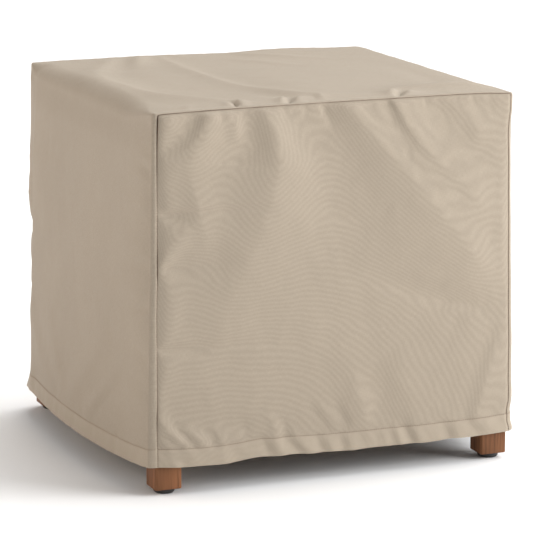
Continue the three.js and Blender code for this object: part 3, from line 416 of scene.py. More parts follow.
# ---------------------------------------------------------------- panel faces
def front_out(x, z, near_l, near_r, near_t, up):
    """How far the front panel stands off the plane y = -COVER_HALF."""
    near = np.minimum(np.minimum(near_l, near_r), near_t)
    out = folds(FRONT_FOLDS, x, z) * smooth(-3, 16, np.minimum(near_r, near_l + 6)) * smooth(-3, 8, near_t)
    out = out + folds(FRONT_HEM, x, z + 44 - hem_z("front", x)) * smooth(0, 20, np.minimum(near_l, near_r))
    # out of the left seam in pockets, out of the other seams evenly
    reach = through(SEAM_REACH, z)
    lift = np.clip(0.33 * reach, 0.5, 8.0)
    out = out + lift * (1 - np.exp(-((near_l / (0.62 * reach + 0.8)) ** 1.5))) * np.exp(-near_l / 80.0) + flare("front", x, z)
    out = out + 3.0 * smooth(0, 90, near)
    out = out + 2.2 * (1 - np.exp(-near_r / 4.5)) * np.exp(-near_r / 60.0)
    out = out + 1.4 * (1 - np.exp(-near_t / 3.0)) * np.exp(-near_t / 40.0)
    out = out - 0.35 * np.exp(-((near / 0.8) ** 2))
    out = out + 0.4 * ripple(x, 1) * np.exp(-near_t / 10.0) * smooth(0, 4, near_t)
    out = out + 0.3 * ripple(z, 3) * np.exp(-near_r / 8.0) * smooth(0, 3, near_r)
    return out + hem_relief(x, up, 4, 0.35)


def back_out(x, z, near_l, near_r, near_t, up):
    near = np.minimum(np.minimum(near_l, near_r), near_t)
    out = 1.4 * folds(BACK_FOLDS, x, z) * smooth(-2, 14, near)
    out = out + 2.6 * (1 - np.exp(-near / 5.0)) + 2.0 * smooth(0, 70, near)
    out = out - 0.5 * np.exp(-((near / 1.2) ** 2)) + flare("back", x, z)
    out = out + 0.9 * ripple(x, 5) * np.exp(-near_t / 11.0) * smooth(0, 4, near_t)
    out = out + 1.3 * ripple(z, 6, (31.0, 57.0, 89.0, 130.0)) * np.exp(-near_l / 14.0) * smooth(0, 6, near_l)
    out = out + 1.1 * ripple(z, 7, (31.0, 57.0, 89.0, 130.0)) * np.exp(-near_r / 14.0) * smooth(0, 6, near_r)
    return out + hem_relief(x, up, 8, 1.3)


def side_out(part, y, z, up, reach):
    """How far a side of the strip stands off its flared plane."""
    table = LEFT_FOLDS if part == "left" else RIGHT_FOLDS
    near = reach - np.abs(y)
    rise = smooth(COVER_TOP_Z - 10, COVER_TOP_Z - 70, z) * (1 - 0.8 * down(z) ** 3)
    seed = 9 if part == "left" else 12
    run = SPRING_RUN * (1 + 0.25 * ripple(z, seed, (61.0, 97.0, 140.0), (1, 1, 0.8)))
    out = SPRING[part] * (1 - np.exp(-near / run)) * rise
    out = out + folds(table, y, z) * smooth(0, 30, near + 14)
    out = out + 0.5 * ripple(z, seed + 3) * np.exp(-((near - 8) / 9.0) ** 2)
    # a slight hollow just under the roll, between the top's edge and the sag
    out = out - 0.3 * np.exp(-(((z - (COVER_TOP_Z - 44)) / 20.0) ** 2)) * smooth(0, 60, near)
    return out + hem_relief(y, up, seed + 1, 0.5) * smooth(-4, 10, near)


def top_out(x, y):
    edge = COVER_HALF - np.abs(y)
    lifted = mix(through(LIFT["front"], x), np.maximum(through(LIFT["back"], x), 0), smooth(-COVER_HALF, COVER_HALF, y))
    out = np.maximum(folds(TOP_FOLDS, x, y), -0.3 - lifted)
    out = out * smooth(-4, 12, edge) * smooth(0, 30, COVER_HALF - np.abs(x))
    out = out + 0.5 * np.exp(-(((edge - 6) / 5.0) ** 2)) * (1 + 0.8 * ripple(x, 14))
    return out


# ---------------------------------------------------------------- mesh helpers
def grid_normals(p):
    du = np.gradient(p, axis=0)
    dv = np.gradient(p, axis=1)
    n = np.cross(du, dv)
    return n / (np.linalg.norm(n, axis=2, keepdims=True) + 1e-12)


def cloth_object(name, outer, thickness, uv, masks, flip=False):
    """A closed sheet from a grid of outer points (mm)."""
    nu, nv = outer.shape[:2]
    n = grid_normals(outer)
    if flip:
        n = -n
    inner = outer - n * thickness
    count = nu * nv
    pts = np.concatenate([outer.reshape(-1, 3), inner.reshape(-1, 3)])
    pts = pts * 0.001 + SHIFT
    i, j = np.meshgrid(np.arange(nu - 1), np.arange(nv - 1), indexing="ij")
    a = (i * nv + j).ravel()
    b = a + nv
    q_out = np.stack([a, b, b + 1, a + 1], 1)
    q_in = np.stack([a, a + 1, b + 1, b], 1) + count
    rims = []
    iu = np.arange(nu - 1) * nv
    rims.append(np.stack([iu, iu + count, iu + nv + count, iu + nv], 1))
    iu = iu + nv - 1
    rims.append(np.stack([iu, iu + nv, iu + nv + count, iu + count], 1))
    jv = np.arange(nv - 1)
    rims.append(np.stack([jv, jv + 1, jv + 1 + count, jv + count], 1))
    jv = jv + (nu - 1) * nv
    rims.append(np.stack([jv, jv + count, jv + 1 + count, jv + 1], 1))
    quads = np.concatenate([q_out, q_in] + rims)
    if flip:
        quads = quads[:, ::-1]
    me = bpy.data.meshes.new(name)
    me.vertices.add(len(pts))
    me.vertices.foreach_set("co", pts.astype(np.float32).ravel())
    me.loops.add(quads.size)
    me.loops.foreach_set("vertex_index", quads.astype(np.int32).ravel())
    me.polygons.add(len(quads))
    me.polygons.foreach_set("loop_start", (np.arange(len(quads)) * 4).astype(np.int32))
    me.polygons.foreach_set("use_smooth", np.ones(len(quads), bool))
    me.update(calc_edges=True)
    uvs = np.concatenate([uv.reshape(-1, 2), uv.reshape(-1, 2)])
    layer = me.uv_layers.new(name="cloth")
    layer.data.foreach_set("uv", uvs[quads.ravel()].astype(np.float32).ravel())
    for key, values in masks.items():
        att = me.attributes.new(key, "FLOAT", "POINT")
        v = np.broadcast_to(values, (nu, nv)).ravel()
        att.data.foreach_set("value", np.concatenate([v, v]).astype(np.float32))
    me.set_sharp_from_angle(angle=math.radians(55))
    me.validate()
    ob = bpy.data.objects.new(name, me)
    bpy.context.scene.collection.objects.link(ob)
    return ob


def resample(x, z, n, power=None):
    run = np.concatenate([[0], np.cumsum(np.hypot(np.diff(x), np.diff(z)))])
    want = (np.linspace(0, 1, n) if power is None else power) * run[-1]
    return np.interp(want, run, x), np.interp(want, run, z)


SEAM_IN = 0.18


def inner_corner(side, a, gap=0.0):
    """The outline that the strip leaves for a panel, round an upper corner."""
    s = -1 if side == "left" else 1
    cx = COVER_HALF - sum(LAP[side]) - INNER_R
    cz = COVER_TOP_Z - sum(LAP["top"]) - INNER_R
    return s * (cx + np.cos(a) * (INNER_R - gap)), cz + np.sin(a) * (INNER_R - gap)


def roll_arc(side, a0, a1, n=24):
    return inner_corner(side, np.linspace(a0, a1, n), SEAM_IN)


def panel_grid(nx, nz, face):
    """x and z of an inset panel's grid, and its distances to the seams."""
    q = math.pi / 4
    ends = {}
    for side, s in (("left", -1), ("right", 1)):
        x0 = s * (COVER_HALF - sum(LAP[side]) - SEAM_IN)
        ax, az = roll_arc(side, 0, q)
        ends[side] = (np.concatenate([[x0], ax]), np.concatenate([[HEM_Z], az]))
    tx1, tz1 = roll_arc("left", q, 2 * q)
    tx2, tz2 = roll_arc("right", 2 * q, q)
    spread = np.linspace(0, 1, nz)
    lx, lz = resample(*ends["left"], nz, spread)
    rx, rz = resample(*ends["right"], nz, spread)
    tx, tz = resample(np.concatenate([tx1, tx2]), np.concatenate([tz1, tz2]), nx)
    s = ((tx - tx[0]) / (tx[-1] - tx[0]))[:, None]
    t = ((lz - lz[0]) / (lz[-1] - lz[0]))[None, :]
    bx, bz = mix(lx[0], rx[0], s), HEM_Z
    x = mix(lx[None], rx[None], s) + mix(bx, tx[:, None], t) - mix(mix(lx[0], rx[0], s), mix(lx[-1], rx[-1], s), t)
    z = mix(lz[None], rz[None], s) + mix(bz, tz[:, None], t) - mix(mix(lz[0], rz[0], s), mix(lz[-1], rz[-1], s), t)
    base = z.copy()
    z = z + (hem_z(face, x) - HEM_Z) * smooth(200, 30, z - HEM_Z)
    near_l = np.maximum(x - lx[None], 0)
    near_r = np.maximum(rx[None] - x, 0)
    near_t = np.maximum(tz[:, None] - base, 0)
    up = z - hem_z(face, x)
    return x, z, near_l, near_r, near_t, up


# ---------------------------------------------------------------- the panels
def build_panel(name, face, out_of, nx, nz, seed):
    sign = -1 if face == "front" else 1
    x, z, nl, nr, nt, up = panel_grid(nx, nz, face)
    out = out_of(x, z, nl, nr, nt, up)
    inner_part = smooth(4, 40, np.minimum(np.minimum(nl, nr), nt))
    out = out + 0.45 * lumps(x, z, 46.0, seed) * inner_part + 0.22 * lumps(x, z, 19.0, seed + 1) * inner_part
    z = z + 0.5 * ripple(x, seed, (70.0, 113.0), (1, 1)) * smooth(40, 0, up)
    out = np.maximum(out, -0.6)
    dx, dz = seam_move(face, x, z)
    p = np.stack([x + dx, sign * (COVER_HALF + out), z + dz], 2)
    near = np.minimum(np.minimum(nl, nr), nt)
    masks = {
        "seam": np.exp(-((near / 0.6) ** 2)),
        "hem": smooth(HEM_DEPTH + 0.6, HEM_DEPTH - 0.6, up),
        "stitch": np.exp(-(((up - HEM_DEPTH) / 1.2) ** 2)),
        "water": out * 4.6 + 0.66 * np.sqrt((x + 170) ** 2 + (z + 40) ** 2),
    }
    uv = np.stack([x * 0.001, z * 0.001], 2)
    # seen from outside, the grid turns the other way on the back
    return cloth_object(name, p, CLOTH, uv, masks, flip=sign > 0), (x + dx, z + dz, out)


def stations(n_left, n_roll, n_top, n_right):
    """Places along the strip: (part, t, up), part 0 left, 1 top, 2 right, 3 and
    4 the rolls; up is a height above the ground edge near it, else None."""
    low = list(np.linspace(0, HEM_DEPTH + 6, 16, endpoint=False))
    st = [(0, 0.0, u) for u in low] + [(0, t, None) for t in np.linspace(0, 1, n_left)]
    st += [(3, k / n_roll, None) for k in range(1, n_roll)]
    st += [(1, k / n_top, None) for k in range(n_top + 1)]
    st += [(4, 1 - k / n_roll, None) for k in range(1, n_roll)]
    st += [(2, t, None) for t in np.linspace(1, 0, n_right)] + [(2, 0.0, u) for u in low[::-1]]
    return st


def build_wrap(name, n_left, n_roll, n_top, n_right, n_len):
    st = stations(n_left, n_roll, n_top, n_right)
    part = np.array([q[0] for q in st])[:, None]
    t = np.array([q[1] for q in st], float)[:, None]
    low = np.array([-1.0 if q[2] is None else q[2] for q in st])[:, None]
    kinds, params = [], []
    for v in (1, 0.8, 0.6, 0.4, 0.2):
        kinds.append(-2), params.append(v)
    for k in range(8, 0, -1):
        kinds.append(-1), params.append(k / 8 * math.pi / 2)
    # closer columns near the seams, where the strip turns and ripples
    q = np.linspace(-1, 1, n_len)
    for v in q + 0.10 * np.sin(q * math.pi):
        kinds.append(0), params.append(v)
    for k in range(1, 9):
        kinds.append(1), params.append(k / 8 * math.pi / 2)
    for v in (0.25, 0.5, 0.75, 1):
        kinds.append(2), params.append(v)
    kind = np.array(kinds)[None, :]
    par = np.array(params, float)[None, :]
    on_len, on_arc, on_lip = kind == 0, np.abs(kind) == 1, np.abs(kind) == 2
    sign = np.sign(kind)
    # the lap's roll radius and lip at each station
    ease = t * t * (3 - 2 * t)
    is_left, is_right, is_top = (part == 0) | (part == 3), (part == 2) | (part == 4), part == 1
    rolling = (part == 3) | (part == 4)
    r0 = np.where(is_left, LAP["left"][0], LAP["right"][0])
    e0 = np.where(is_left, LAP["left"][1], LAP["right"][1])
    r = np.where(is_top, LAP["top"][0], np.where(rolling, mix(r0, LAP["top"][0], ease), r0))
    e = np.where(is_top, LAP["top"][1], np.where(rolling, mix(e0, LAP["top"][1], ease), e0))
    reach = COVER_HALF - r
    angle = np.where(on_arc, par, np.where(on_lip, math.pi / 2, 0.0)) + 0 * t
    y = np.where(on_len, par * reach, sign * (reach + r * np.sin(angle)))
    near = np.where(on_len, reach - np.abs(y), 0.0)
    # the outer line of the strip
    grow = np.where(y < 0, smooth(0, ROLL_RUN["front"], near), smooth(0, ROLL_RUN["back"], near))
    roll_l, roll_r = mix(ROLL_END, ROLL_X["left"], grow), mix(ROLL_END, ROLL_X["right"], grow)
    rx = np.where(is_left, roll_l, roll_r)
    rz = mix(ROLL_END, np.where(is_left, ROLL_Z["left"], ROLL_Z["right"]), grow)
    s = np.where(is_left, -1.0, 1.0)
    a = t * math.pi / 2
    straight = COVER_TOP_Z - rz - HEM_Z
    up = np.where(low >= 0, low, np.where(rolling | is_top, 999.0, mix(HEM_DEPTH + 6.0, straight, t)))
    ox = np.where(is_top, mix(-(COVER_HALF - roll_l), COVER_HALF - roll_r, t), np.where(rolling, s * (COVER_HALF - rx + rx * np.cos(a)), s * COVER_HALF))
    oz = np.where(is_top, COVER_TOP_Z, np.where(rolling, COVER_TOP_Z - rz + rz * np.sin(a), HEM_Z + up))
    steep = np.hypot(np.cos(a) / rx, np.sin(a) / rz)
    nx = np.where(is_top, 0.0, np.where(rolling, s * np.cos(a) / rx / steep, s)) + 0 * y
    nz = np.where(is_top, 1.0, np.where(rolling, np.sin(a) / rz / steep, 0.0)) + 0 * y
    # the ground edges follow their panels' hanging edges round the corners
    side = (part == 0) | (part == 2)
    turn = np.where(on_lip, 1.0, np.where(on_arc, smooth(0, math.pi / 2, angle), 0.0))
    py = np.where(on_len, y, sign * reach)
    z_low = np.where(part == 0, hem_z("left", py), hem_z("right", py))
    z_face = np.where(sign < 0, hem_z("front", s * (reach - e)), hem_z("back", s * (reach - e)))
    z_low = mix(z_low, z_face, turn)
    pz = np.where(side, mix(z_low, HEM_Z, smooth(30, 200, up)) + up, oz)
    hang = np.where(part == 0, flare("left", py, pz), np.where(part == 2, flare("right", py, pz), 0.0))
    px = ox + np.where(side, nx * hang * (1 - turn), 0.0)
    # the way in from the outer line to the outline left for the panel
    ic = [inner_corner("left", a), inner_corner("right", a)]
    ex = COVER_HALF - sum(LAP["left"]) - INNER_R, COVER_HALF - sum(LAP["right"]) - INNER_R
    ix = np.where(is_top, mix(-ex[0], ex[1], t), np.where(rolling, np.where(is_left, ic[0][0], ic[1][0]), s * (COVER_HALF - r - e)))
    iz = np.where(is_top, COVER_TOP_Z - r - e, np.where(rolling, np.where(is_left, ic[0][1], ic[1][1]), oz))
    go = np.where(on_arc, r * (1 - np.cos(angle)), np.where(on_lip, r + par * e, 0.0)) / (r + e)
    px = px + (ix - ox) * go
    pz = pz + (iz - oz) * go
    # the sewn edges' wandering, carried into the strip on each side of them;
    # over the top the two ends' lifts run into each other
    fx, fz = seam_move("front", px, pz)
    bx, bz = seam_move("back", px, pz)
    inward = np.where(sign == 0, near, 0.0)
    face_f = np.where(y < 0, 1.0, 0.0)
    fade = smooth(70, 0, inward)
    across = smooth(-COVER_HALF, COVER_HALF, y)
    wx = np.where(face_f > 0, fx, bx) * fade
    wz = mix(fz, np.maximum(bz, 0), across) + np.minimum(bz, 0) * smooth(34, 4, near) * (y > 0)
    wz = np.where(on_len, wz, np.where(sign < 0, fz, bz))
    # outward displacement along the local outward direction
    out = np.zeros(y.shape)
    for number, key in ((0, "left"), (2, "right")):
        m = (part[:, 0] == number).nonzero()[0]
        o = side_out(key, y[m], pz[m], up[m], reach[m])
        edge = HEM_EXTRA * smooth(HEM_DEPTH + 1.2, HEM_DEPTH - 1.2, up[m]) - 0.25 * np.exp(-(((up[m] - HEM_DEPTH) / 1.6) ** 2))
        out[m] = np.where(on_len, o, edge)
    m = (part[:, 0] == 1).nonzero()[0]
    out[m] = np.where(on_len, top_out(px[m], y[m]), 0)
    # blend the top's and the sides' displacement into the rolls
    for number, lo_part, hi_part in ((3, 0, 1), (4, 1, 2)):
        lo = (part[:, 0] == lo_part).nonzero()[0][-1]
        hi = (part[:, 0] == hi_part).nonzero()[0][0]
        for k in range(lo + 1, hi):
            v = (k - lo) / (hi - lo)
            out[k] = mix(out[lo], out[hi], v * v * (3 - 2 * v))
    # the lip stands up beside the seam as a narrow rounded edge, then turns in
    w = np.where(rolling, 0.6, np.where(is_top, 0.4, np.where(is_left, mix(0.25, 1.0, smooth(150, 320, pz)), 0.6)))
    out = out + np.where(kind == -2, (0.75 * np.sin(math.pi * (0.5 + 0.5 * par)) - 0.45 * par ** 4) * w, 0)
    out = out + np.where(kind == -1, 0.75 * w * np.sin(angle) ** 4, 0)
    nyv = sign * np.sin(angle)
    nxv, nzv = nx * np.cos(angle), nz * np.cos(angle)
    p = np.stack([px + wx + nxv * out, y + nyv * out, pz + wz + nzv * out], 2)
    # small unevenness
    small = 0.4 * lumps(y + 0.31 * ox, pz + 0.77 * ox, 52.0, 31) + 0.18 * lumps(y, pz + ox, 21.0, 32)
    small = small * np.where(on_len, smooth(4, 40, near), 0) * np.where(is_top, 0.6, 1.0)
    small = np.where(is_top, np.maximum(small, -0.15), small)
    p = p + np.stack([nxv * small, nyv * small, nzv * small], 2)
    # held off the legs and the top, whose upright corners are rounded
    room = LEG_ROUND + CLOTH + 0.2
    past = np.maximum(np.abs(p[..., 1]) - (TABLE_HALF - LEG_ROUND), 0)
    rise = np.clip((p[..., 2] - (TABLE_TOP_Z - SLAB_EDGE[1])) / SLAB_EDGE[1], 0, 1)
    need = TABLE_HALF - LEG_ROUND + np.sqrt(np.maximum(room ** 2 - past ** 2, 0)) - SLAB_EDGE[0] * (1 - np.sqrt(1 - rise ** 2))
    beside = (part != 1) & (past < room) & (rise < 0.9)
    p[..., 0] = np.where(beside, s * np.maximum(s * p[..., 0], need), p[..., 0])
    mid = p.shape[1] // 2
    along = np.linalg.norm(np.diff(p[:, mid], axis=0), axis=1)
    strip = np.concatenate([[0], np.cumsum(along)])[:, None] + 0 * y
    near_seam = np.where(on_lip, (1 - par) * e, np.where(on_arc, e + r * (math.pi / 2 - angle), 40))
    masks = {
        "seam": np.exp(-((near_seam / 0.6) ** 2)),
        "hem": smooth(HEM_DEPTH + 0.6, HEM_DEPTH - 0.6, up),
        "stitch": np.exp(-(((up - HEM_DEPTH) / 1.2) ** 2)),
        "water": 0 * y,
    }
    uv = np.stack([y * 0.001, strip * 0.001], 2)
    return cloth_object(name, p, CLOTH, uv, masks, flip=False), p


res = 1.0
n = lambda v: int(round(v * res))
front, front_data = build_panel("cover_front", "front", front_out, n(210), n(200), 20)
back, back_data = build_panel("cover_back", "back", back_out, n(150), n(140), 24)
wrap, wrap_pts = build_wrap("cover_wrap", n(100), 13, n(100), n(80), n(120))


# ---------------------------------------------------------------- stitches
def capsule(radius, length, rings=4, sides=6):
    """Vertices and faces of a short rounded thread along +X."""
    v, f = [], []
    prof = [(-0.5, 0.35), (-0.36, 0.9), (0.0, 1.0), (0.36, 0.9), (0.5, 0.35)]
    for t, r in prof:
        for k in range(sides):
            a = 2 * math.pi * k / sides
            v.append((t * length, r * radius * math.cos(a), r * radius * math.sin(a)))
    m = len(prof)
    for i in range(m - 1):
        for k in range(sides):
            a, b = i * sides + k, i * sides + (k + 1) % sides
            f.append((a, b, b + sides, a + sides))
    f.append(tuple(reversed(range(sides))))
    f.append(tuple(range((m - 1) * sides, m * sides)))
    return np.array(v), f


def stitch_row(name, centres, along, out, radius=0.42, length=3.3):
    cv, cf = capsule(radius, length)
    verts, faces = [], []
    for c, t, o in zip(centres, along, out):
        t = t / np.linalg.norm(t)
        o = o - t * (o @ t)
        o = o / np.linalg.norm(o)
        s = np.cross(o, t)
        base = len(verts) * len(cv)
        verts.append(c + cv[:, :1] * t + cv[:, 1:2] * s + cv[:, 2:] * o)
        faces += [tuple(base + k for k in q) for q in cf]
    pts = np.concatenate(verts) * 0.001 + SHIFT
    me = bpy.data.meshes.new(name)
    me.from_pydata([tuple(p) for p in pts], [], faces)
    me.polygons.foreach_set("use_smooth", np.ones(len(me.polygons), bool))
    ob = bpy.data.objects.new(name, me)
    bpy.context.scene.collection.objects.link(ob)
    return ob


def row_from_line(name, pts, outward, pitch=3.9, lift=0.1, **kw):
    """Stitches along a line of surface points, set a little proud of it."""
    run = np.concatenate([[0], np.cumsum(np.linalg.norm(np.diff(pts, axis=0), axis=1))])
    at = np.arange(pitch * 0.6, run[-1] - pitch * 0.5, pitch)
    c = np.stack([np.interp(at, run, pts[:, k]) for k in range(3)], 1)
    ahead = np.stack([np.interp(at + 1.0, run, pts[:, k]) for k in range(3)], 1)
    behind = np.stack([np.interp(at - 1.0, run, pts[:, k]) for k in range(3)], 1)
    o = np.stack([np.interp(at, run, outward[:, k]) for k in range(3)], 1)
    return stitch_row(name, c + o * lift, ahead - behind, o, **kw)


def panel_stitches(name, data, sign):
    x, z, out = data
    face = "front" if sign < 0 else "back"
    xs, ys, zs = [], [], []
    for i in range(x.shape[0]):
        zi = float(hem_z(face, x[i, 0])) + HEM_DEPTH
        xs.append(np.interp(zi, z[i], x[i]))
        ys.append(sign * (COVER_HALF + np.interp(zi, z[i], out[i])))
        zs.append(zi)
    pts = np.stack([xs, ys, zs], 1)
    outward = np.tile([0.0, sign, 0.0], (len(pts), 1))
    return row_from_line(name, pts, outward)


def wrap_stitches(name, p, rows_slice, sign):
    j0, j1 = 5, p.shape[1] - 5
    sub = p[rows_slice, j0:j1]
    base = sub[0, :, 2]
    pts = []
    for j in range(sub.shape[1]):
        col = sub[:, j]
        order = np.argsort(col[:, 2])
        zi = col[:, 2].min() + HEM_DEPTH
        pts.append([np.interp(zi, col[order, 2], col[order, 0]), np.interp(zi, col[order, 2], col[order, 1]), zi])
    pts = np.array(pts)
    d = np.gradient(pts, axis=0)
    outward = np.stack([-d[:, 1] * sign * -1, d[:, 0] * sign * -1, 0 * d[:, 0]], 1)
    outward = outward / np.linalg.norm(outward, axis=1, keepdims=True)
    if (outward[len(outward) // 2, 0] > 0) != (sign > 0):
        outward = -outward
    return row_from_line(name, pts, outward)


def seam_thread(name, data, sign):
    """Dashes of thread that hold a panel's three sewn edges."""
    x, z, out = data
    line = np.concatenate([
        np.stack([x[0, :-1] - 0.1, out[0, :-1], z[0, :-1]], 1),
        np.stack([x[:, -1], out[:, -1], z[:, -1] + 0.1], 1),
        np.stack([x[-1, -2::-1] + 0.1, out[-1, -2::-1], z[-1, -2::-1]], 1),
    ])
    line[:, 1] = sign * (COVER_HALF + line[:, 1])
    outward = np.tile([0.0, sign, 0.0], (len(line), 1))
    return row_from_line(name, line, outward, pitch=4.0, lift=0.20, radius=0.38, length=3.2)


k_low = 22
stitch_objects = [
    panel_stitches("stitch_front", front_data, -1),
    panel_stitches("stitch_back", back_data, 1),
    wrap_stitches("stitch_left", wrap_pts, slice(0, k_low), -1),
    wrap_stitches("stitch_right", wrap_pts, slice(wrap_pts.shape[0] - k_low, wrap_pts.shape[0]), 1),
]
seam_objects = [seam_thread("seam_front", front_data, -1), seam_thread("seam_back", back_data, 1)]


# ---------------------------------------------------------------- table pieces
def square_ring(h, r, z, steps=6):
    pts = []
    for sx, sy, a0 in ((1, -1, -math.pi / 2), (1, 1, 0), (-1, 1, math.pi / 2), (-1, -1, math.pi)):
        for k in range(steps + 1):
            a = a0 + k / steps * math.pi / 2
            pts.append((sx * (h - r) + r * math.cos(a), sy * (h - r) + r * math.sin(a), z))
    return np.array(pts)


def pile(name, rings, centre=(0, 0)):
    m = len(rings[0])
    pts = np.concatenate(rings) + np.array([centre[0], centre[1], 0])
    faces = []
    for k in range(len(rings) - 1):
        for i in range(m):
            a, b = k * m + i, k * m + (i + 1) % m
            faces.append((a, b, b + m, a + m))
    faces.append(tuple(reversed(range(m))))
    faces.append(tuple(range((len(rings) - 1) * m, len(rings) * m)))
    me = bpy.data.meshes.new(name)
    me.from_pydata([tuple(p) for p in pts * 0.001 + SHIFT], [], faces)
    me.polygons.foreach_set("use_smooth", np.ones(len(me.polygons), bool))
    me.set_sharp_from_angle(angle=math.radians(40))
    ob = bpy.data.objects.new(name, me)
    bpy.context.scene.collection.objects.link(ob)
    return ob


def leg_rings():
    z0, z1 = GLIDE_H + 0.3, TABLE_TOP_Z - SLAB - 0.3
    h, r, c = LEG / 2, 3.8, 1.6
    rings = []
    for k in range(5):
        a = k / 4 * math.pi / 2
        rings.append(square_ring(h - c * (1 - math.sin(a)), r, z0 + c * (1 - math.cos(a))))
    for z in (60, 160, 280, 400, z1):
        rings.append(square_ring(h, r, z))
    return rings


def slab_rings():
    z0 = TABLE_TOP_Z - SLAB
    rings = [square_ring(TABLE_HALF - 1.2, 5, z0), square_ring(TABLE_HALF - 0.3, 5.6, z0 + 0.5), square_ring(TABLE_HALF, 6, z0 + 1.2)]
    for k in range(13):
        a = k / 12 * math.pi / 2
        rings.append(square_ring(TABLE_HALF - SLAB_EDGE[0] * (1 - math.cos(a)), 6, TABLE_TOP_Z - SLAB_EDGE[1] * (1 - math.sin(a))))
    return rings


def lathe(name, profile, centre, sides=56):
    rings = [np.array([(r * math.cos(2 * math.pi * k / sides), r * math.sin(2 * math.pi * k / sides), z) for k in range(sides)]) for r, z in profile]
    return pile(name, rings, centre)


GLIDE = [(12.6, 0.9), (13.2, 0.25), (13.8, 0.0), (14.6, 0.25), (15.6, 1.2), (16.4, 2.4), (16.8, 3.6), (16.8, 7.2), (16.5, 7.8), (16.0, 8.0)]
LEG_AT = TABLE_HALF - LEG / 2
wood_objects, glide_objects = [], []
for tag, sx, sy in (("fl", -1, -1), ("fr", 1, -1), ("bl", -1, 1), ("br", 1, 1)):
    ob = pile("post_" + tag, leg_rings(), (sx * LEG_AT, sy * LEG_AT))
    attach(ob, "root")
    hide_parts("leg_" + tag)
    wood_objects.append(ob)
    g = lathe("foot_" + tag, GLIDE, (sx * LEG_AT, sy * LEG_AT))
    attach(g, "root")
    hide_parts("glide_" + tag)
    glide_objects.append(g)
board = pile("board_top", slab_rings())
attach(board, "root")
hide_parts("table_top")


# ---------------------------------------------------------------- materials
class Nodes:
    def __init__(self, name):
        self.mat = bpy.data.materials.new(name)
        self.mat.use_nodes = True
        self.t = self.mat.node_tree
        self.b = self.t.nodes["Principled BSDF"]

    def new(self, kind, **values):
        node = self.t.nodes.new(kind)
        for k, v in values.items():
            if hasattr(node, k):
                setattr(node, k, v)
            else:
                node.inputs[k].default_value = v
        return node

    def link(self, a, b):
        self.t.links.new(a, b)

    def math(self, op, a, b=None, clamp=False):
        m = self.t.nodes.new("ShaderNodeMath")
        m.operation = op
        m.use_clamp = clamp
        for k, v in enumerate((a, b)):
            if v is None:
                continue
            if hasattr(v, "links"):
                self.link(v, m.inputs[k])
            else:
                m.inputs[k].default_value = v
        return m.outputs[0]

    def mix(self, fac, a, b, blend="MIX"):
        m = self.t.nodes.new("ShaderNodeMix")
        m.data_type = "RGBA"
        m.blend_type = blend
        for key, v in (("Factor", fac), ("A", a), ("B", b)):
            sock = [s for s in m.inputs if s.name == key and s.enabled][0]
            if hasattr(v, "links"):
                self.link(v, sock)
            else:
                sock.default_value = v
        return [s for s in m.outputs if s.enabled][0]

    def noise(self, vector, scale, detail=3, rough=0.55, w=None):
        nz = self.t.nodes.new("ShaderNodeTexNoise")
        nz.inputs["Scale"].default_value = scale
        nz.inputs["Detail"].default_value = detail
        nz.inputs["Roughness"].default_value = rough
        self.link(vector, nz.inputs["Vector"])
        return nz.outputs["Fac"]

    def attribute(self, name):
        a = self.t.nodes.new("ShaderNodeAttribute")
        a.attribute_name = name
        return a.outputs["Fac"]


def rgb(r, g, b):
    return (r, g, b, 1.0)


CLOTH_MAIN = (0.347, 0.289, 0.222)


